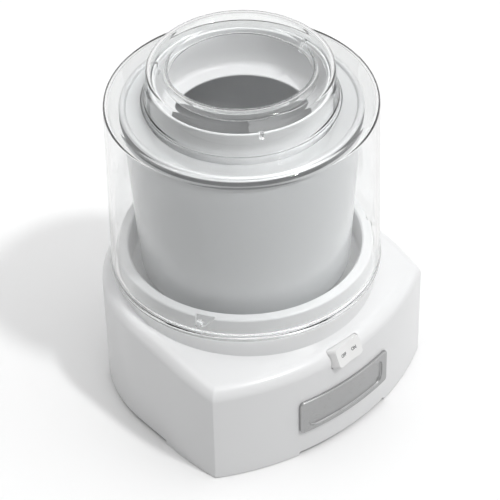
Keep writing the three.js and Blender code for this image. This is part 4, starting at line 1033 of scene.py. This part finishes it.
def spindleShaft():
    d = drive
    thin, thick = d["shaftRadius"], d["collarRadius"]
    return turned([
        (0, d["shaftFoot"]), (thin, d["shaftFoot"], 0.6), (thin, d["collarFoot"]),
        (thick, d["collarFoot"], 0.4), (thick, d["collarTop"], 0.4), (thin, d["collarTop"]),
        (thin, d["shaftTop"], 1), (0, d["shaftTop"]),
    ], 64)


def sealRing():
    d = drive
    return turned([
        (d["bore"], d["sealFoot"], 0.2), (d["sealRadius"], d["sealFoot"], 0.3),
        (d["sealRadius"], d["sealTop"], 0.5), (d["sealLip"] + 0.6, d["sealTop"], 0.2),
        (d["sealLip"], d["sealLipTop"], 0.2), (d["bore"], d["sealLipTop"], 0.2),
    ], 72)


def upperBush():
    d = drive
    return turned([
        (d["bore"], d["bushFoot"], 0.2), (d["bushRadius"], d["bushFoot"], 0.2),
        (d["bushRadius"], d["bushTop"], 0.3), (d["bore"], d["bushTop"], 0.3),
    ], 64)


made(driveHub(), "drive_coupling", "spindle", gearPlastic, ["drive_hub"])
made(bowlRing(), "bowl_coupling", "bowl", gearPlastic, ["bowl_drive_ring"])
made(spindleShaft(), "spindle_shaft", "spindle", shaftSteel, ["drive_spindle"])
made(sealRing(), "seal_ring", "base", rubber, ["shaft_seal"])
made(upperBush(), "upper_bush", "base", bushBronze, ["spindle_bush_upper"])
print("coupling done")


# The switch's body behind the wall, and its pin

switchCase = {
    "halfX": 11, "halfY": 7.1, "floor": -12.9, "depth": 9,
    "earHalf": 4, "earInner": 4.9, "earOuter": 6.4, "earTop": -3.6,
    "bridge": 3, "wing": 19.5, "postTop": -4.6,
}


def switchBody():
    c = switchCase
    low = c["floor"] - c["depth"]
    body = block((-c["halfX"], -c["halfY"], low), (c["halfX"], c["halfY"], c["floor"]), 0.8)
    under = c["floor"] - c["bridge"]
    half = c["earHalf"]
    solids = [block((-c["wing"], -half, under), (c["wing"], half, c["floor"]), 0.3)]
    for side in (-1, 1):
        ear, post = c["earInner"] * side, (c["wing"] - c["bridge"]) * side
        solids.append(block((-half, ear, under), (half, c["earOuter"] * side, c["earTop"]), 0.4))
        solids.append(block((post, -half, under + 1), (c["wing"] * side, half, c["postTop"]), 0.3))
    hole = rod(rocker["pinBore"], 40, pinPlace @ lying)
    return moved(combined(withAll(body, solids), hole, "DIFFERENCE"), rockerFrame)


def switchPin():
    half = switchCase["earOuter"]
    pin = turned([(0, -half), (rocker["pin"], -half, 0.3), (rocker["pin"], half, 0.3), (0, half)], 32)
    return moved(pin, rockerFrame @ pinPlace @ lying)


made(switchBody(), "switch_case", "base", darkPlastic, ["switch_body"])
made(switchPin(), "rocker_pin", "base", shaftSteel, ["switch_pin"])
print("switch body done")


# The underside: plate, feet, screws, and the bush where the lead comes in

underside = {
    "gap": 3.4, "bottom": 3, "top": 5.5, "edge": 0.5,
    "vents": 5, "ventX": -54.969, "ventY": -54.969, "ventLength": 34, "ventWidth": 3, "ventPitch": 8,
    "ventRound": 1.45, "stemHole": 3, "screwHole": 1.9,
    "feet": [(x * side, y) for x, y in ((78, -68), (51.78, 66.27)) for side in (-1, 1)],
}


def bottomPlate():
    u = underside
    bm = bmesh.new()
    planRing(bm, u["gap"])
    bmesh.ops.contextual_create(bm, geom=bm.edges[:])
    moved(pulledUp(bm, u["top"] - u["bottom"]), Matrix.Translation((0, 0, u["bottom"])))
    rounded(bm, sharp(bm, 60), u["edge"], 2)
    cuts = bmesh.new()
    left, right = u["ventX"] - u["ventLength"] / 2, u["ventX"] + u["ventLength"] / 2
    for index in range(u["vents"]):
        low = u["ventY"] + (index - (u["vents"] - 1) / 2) * u["ventPitch"] - u["ventWidth"] / 2
        absorbed(cuts, tablet((left, low, 0), (right, low + u["ventWidth"], 9), u["ventRound"], 4))
    for radius, places in ((u["stemHole"], u["feet"]), (u["screwHole"], posts["cover"])):
        for x, y in places:
            absorbed(cuts, rod(radius, 12, Matrix.Translation((x, y, 4))))
    return combined(bm, cuts, "DIFFERENCE")


foot = {
    "radius": 9, "height": 2.7, "dish": 5, "dishDepth": 0.5,
    "stem": 2.7, "barb": 3.7, "barbFoot": 5.8, "tip": 1.9, "tipHeight": 8.5,
}


def rubberFoot(x, y):
    # A pad with a dished sole, and a barbed stem that snaps into the plate.
    f = foot
    bm = turned([
        (0, f["dishDepth"]), (f["dish"], f["dishDepth"], 0.3), (f["dish"] + 0.5, 0, 0.2),
        (f["radius"], 0, 0.8), (f["radius"], f["height"], 0.6), (f["stem"], f["height"], 0.2),
        (f["stem"], f["barbFoot"], 0.1), (f["barb"], f["barbFoot"], 0.3), (f["tip"], f["tipHeight"], 0.6),
        (0, f["tipHeight"]),
    ], 48)
    return moved(bm, Matrix.Translation((x, y, 0)))


screw = {
    "under": 2.7, "head": 4, "headHeight": 1.7, "headRound": 0.9, "recess": 2.1, "recessWidth": 0.9,
    "shank": 1.6, "length": 16, "point": 1.4, "plain": 3,
    "threadDepth": 0.35, "threadSunk": 0.15, "threadHalf": 0.3, "pitch": 1.3, "steps": 16,
}


def coverScrew(x, y):
    # Pan head with a cross recess, and a thread wound up the shank.
    c = screw
    core = c["shank"] - c["threadDepth"]
    under, top = c["under"], c["under"] + c["length"]
    headFoot = under - c["headHeight"]
    bm = turned([
        (0, headFoot), (c["head"], headFoot, c["headRound"]), (c["head"], under, 0.2), (core, under, 0.1),
        (core, top - c["point"]), (0, top),
    ], 32)
    for turn in (0, pi / 2):
        half = c["recessWidth"] / 2
        arm = block((-c["recess"], -half, headFoot - 1), (c["recess"], half, under - 0.5), 0.15)
        bm = combined(bm, moved(arm, Matrix.Rotation(turn, 4, "Z")), "DIFFERENCE")
    thread = bmesh.new()
    root = core - c["threadSunk"]
    corners = [(root, 0.0), (c["shank"], c["threadHalf"]), (root, 2 * c["threadHalf"])]
    points = [thread.verts.new((radius, 0, under + 1 + height)) for radius, height in corners]
    lines = [thread.edges.new(pair) for pair in inLoop(points)]
    turns = int((c["length"] - c["plain"]) / c["pitch"])
    bmesh.ops.spin(
        thread, geom=points + lines, cent=(0, 0, 0), axis=(0, 0, 1), dvec=(0, 0, c["pitch"] / c["steps"]),
        angle=2 * pi * turns, steps=c["steps"] * turns,
    )
    bmesh.ops.holes_fill(thread, edges=[edge for edge in thread.edges if edge.is_boundary], sides=3)
    return moved(absorbed(bm, thread), Matrix.Translation((x, y, 0)))


lead = {
    "bore": 3.2, "inner": 102.5, "sleeve": 6, "flange": 9, "flangeInner": 109.3, "flangeOuter": 111.3,
    "groove": 5.5, "grooveAt": 113.6, "grooveWidth": 0.8, "nose": 5.3, "outer": 117.8,
}


def cordBush():
    # A flanged sleeve with one groove round its nose.
    c = lead
    sleeve, groove = c["sleeve"], c["groove"]
    start, end = c["grooveAt"], c["grooveAt"] + c["grooveWidth"]
    bush = turned([
        (c["bore"], c["inner"], 0.3), (sleeve, c["inner"], 0.5), (sleeve, c["flangeInner"], 0.1),
        (c["flange"], c["flangeInner"], 0.3), (c["flange"], c["flangeOuter"], 0.8),
        (sleeve, c["flangeOuter"] + 0.3, 0.6), (sleeve - 0.1, start - 0.4, 0.2), (groove, start, 0.2),
        (groove, end, 0.2), (groove + 0.3, end + 0.4, 0.2), (c["nose"], c["outer"], 0.6),
        (c["bore"], c["outer"], 0.4),
    ], 64)
    return moved(bush, Matrix.Translation((0, 0, housing["leadHeight"])) @ Matrix.Rotation(-pi / 2, 4, "X"))


corners = ["front_left", "front_right", "rear_left", "rear_right"]
made(bottomPlate(), "bottom_cover", "base", darkPlastic, ["bottom_plate"])
made(cordBush(), "cord_bush", "base", rubber, ["cord_gland"])
for corner, footSpot, screwSpot in zip(corners, underside["feet"], posts["cover"]):
    made(rubberFoot(*footSpot), "foot_" + corner, "base", rubber, ["rubber_foot_" + corner])
    name = "cover_screw_" + corner
    made(coverScrew(*screwSpot), name, "base", shaftSteel, ["bottom_screw_" + corner])
print("underside done")


# Finishes for the pieces that keep their own shape

inside = [
    (castZinc, ["gear_frame", "bracket_upper", "bracket_lower"]),
    (laminations, ["stator_stack", "rotor_core"]),
    (copper, ["coil_upper", "coil_lower"]),
    (bushBronze, ["spindle_bush_lower", "motor_bush_upper", "motor_bush_lower"]),
    (shaftSteel, ["motor_shaft", "motor_pinion", "compound_axle", "motor_bolt_1", "motor_bolt_2"]),
    (shaftSteel, ["frame_screw_1", "frame_screw_2", "frame_screw_3", "frame_screw_4"]),
    (gearPlastic, ["output_gear", "compound_gear"]),
    (darkPlastic, ["cooling_fan"]),
    (coldGel, ["bowl_gel"]),
]
for finish, nodes in inside:
    for node in nodes:
        for slot in bpy.data.objects[node].material_slots:
            slot.material = finish.material
print("inside done")


# Camera, floor and light

studio = {
    # the camera's place in millimetres, its turn in degrees
    "place": (-806.917, -954.915, 1194.15), "turn": (49.038, 1.104, -41.311), "lens": 158.4,
    "sensor": 36, "clip": (0.05, 20),
    "floor": (0.96, 0.96, 0.96), "floorBounce": (0.6, 0.6, 0.6),
    "floorRadius": 2.4, "floorFade": (0.55, 0.95), "ambient": 0.28, "overhead": 0.5, "dimming": (0.02, 0.4),
    # each lamp's source, strength and softness in degrees
    "key_lamp": ((0.135, -0.522, 0.843), 1.02, 5),
    "side_lamp": ((0.78, -0.52, 0.34), 0.5, 60),
    "top_lamp": ((0.05, 0.1, 1.0), 1.5, 80),
}


def cameraReady():
    lens = bpy.data.cameras.new("studio_camera")
    lens.lens = studio["lens"]
    lens.sensor_width = studio["sensor"]
    lens.clip_start, lens.clip_end = studio["clip"]
    holder = bpy.data.objects.new("studio_camera", lens)
    holder.location = Vector(studio["place"]) * mm
    holder.rotation_euler = [radians(angle) for angle in studio["turn"]]
    scene.collection.objects.link(holder)
    scene.camera = holder


def softLamp(name, source, strength, softness):
    light = bpy.data.lights.new(name, "SUN")
    light.energy = strength
    light.angle = radians(softness)
    holder = bpy.data.objects.new(name, light)
    holder.location = Vector(source) * 2
    holder.rotation_euler = Vector(source).to_track_quat("Z", "Y").to_euler()
    scene.collection.objects.link(holder)


def studioFloor():
    # A round pale floor that fades out at its edge, so that the white behind it takes over.
    bm = bmesh.new()
    bmesh.ops.create_circle(bm, cap_ends=True, radius=studio["floorRadius"], segments=96)
    finish = Finish("studio_floor", Specular_IOR_Level=0.0, Roughness=0.9)
    z, radius = finish.heightAndRadius()
    finish.set(Base_Color=finish.shade(finish.lookedAt(), studio["floorBounce"], studio["floor"]))
    fade = finish.ramp(radius, *[studio["floorRadius"] * share for share in studio["floorFade"]])
    finish.mixedWith(finish.node("BsdfTransparent"), fade)
    floor = held(bm, "studio_floor")
    floor.data.materials.append(finish.material)


def studioWorld():
    # Even soft light all round; white wherever it is looked at.
    world = bpy.data.worlds.new("studio_world")
    world.use_nodes = True
    scene.world = world
    graph = Graph(world.node_tree)
    looked = graph.lookedAt()
    ambient = graph.node("Background", None, {"Color": (1, 1, 1, 1), "Strength": studio["ambient"]})
    direction = graph.node("TexCoord", output="Generated")
    upwards = graph.node("SeparateXYZ", None, {0: direction}, "Z")
    level = graph.ramp(upwards, *studio["dimming"], 1.0, studio["overhead"])
    white = graph.node("Background", None, {"Color": (1, 1, 1, 1), "Strength": level})
    mix = graph.node("MixShader", None, {0: looked, 1: ambient, 2: white})
    graph.tree.links.new(mix.socket, graph.tree.nodes["World Output"].inputs["Surface"])


cameraReady()
for lamp in ("key_lamp", "side_lamp", "top_lamp"):
    softLamp(lamp, *studio[lamp])
studioFloor()
studioWorld()
scene.view_settings.view_transform = "Standard"
print("studio ready")
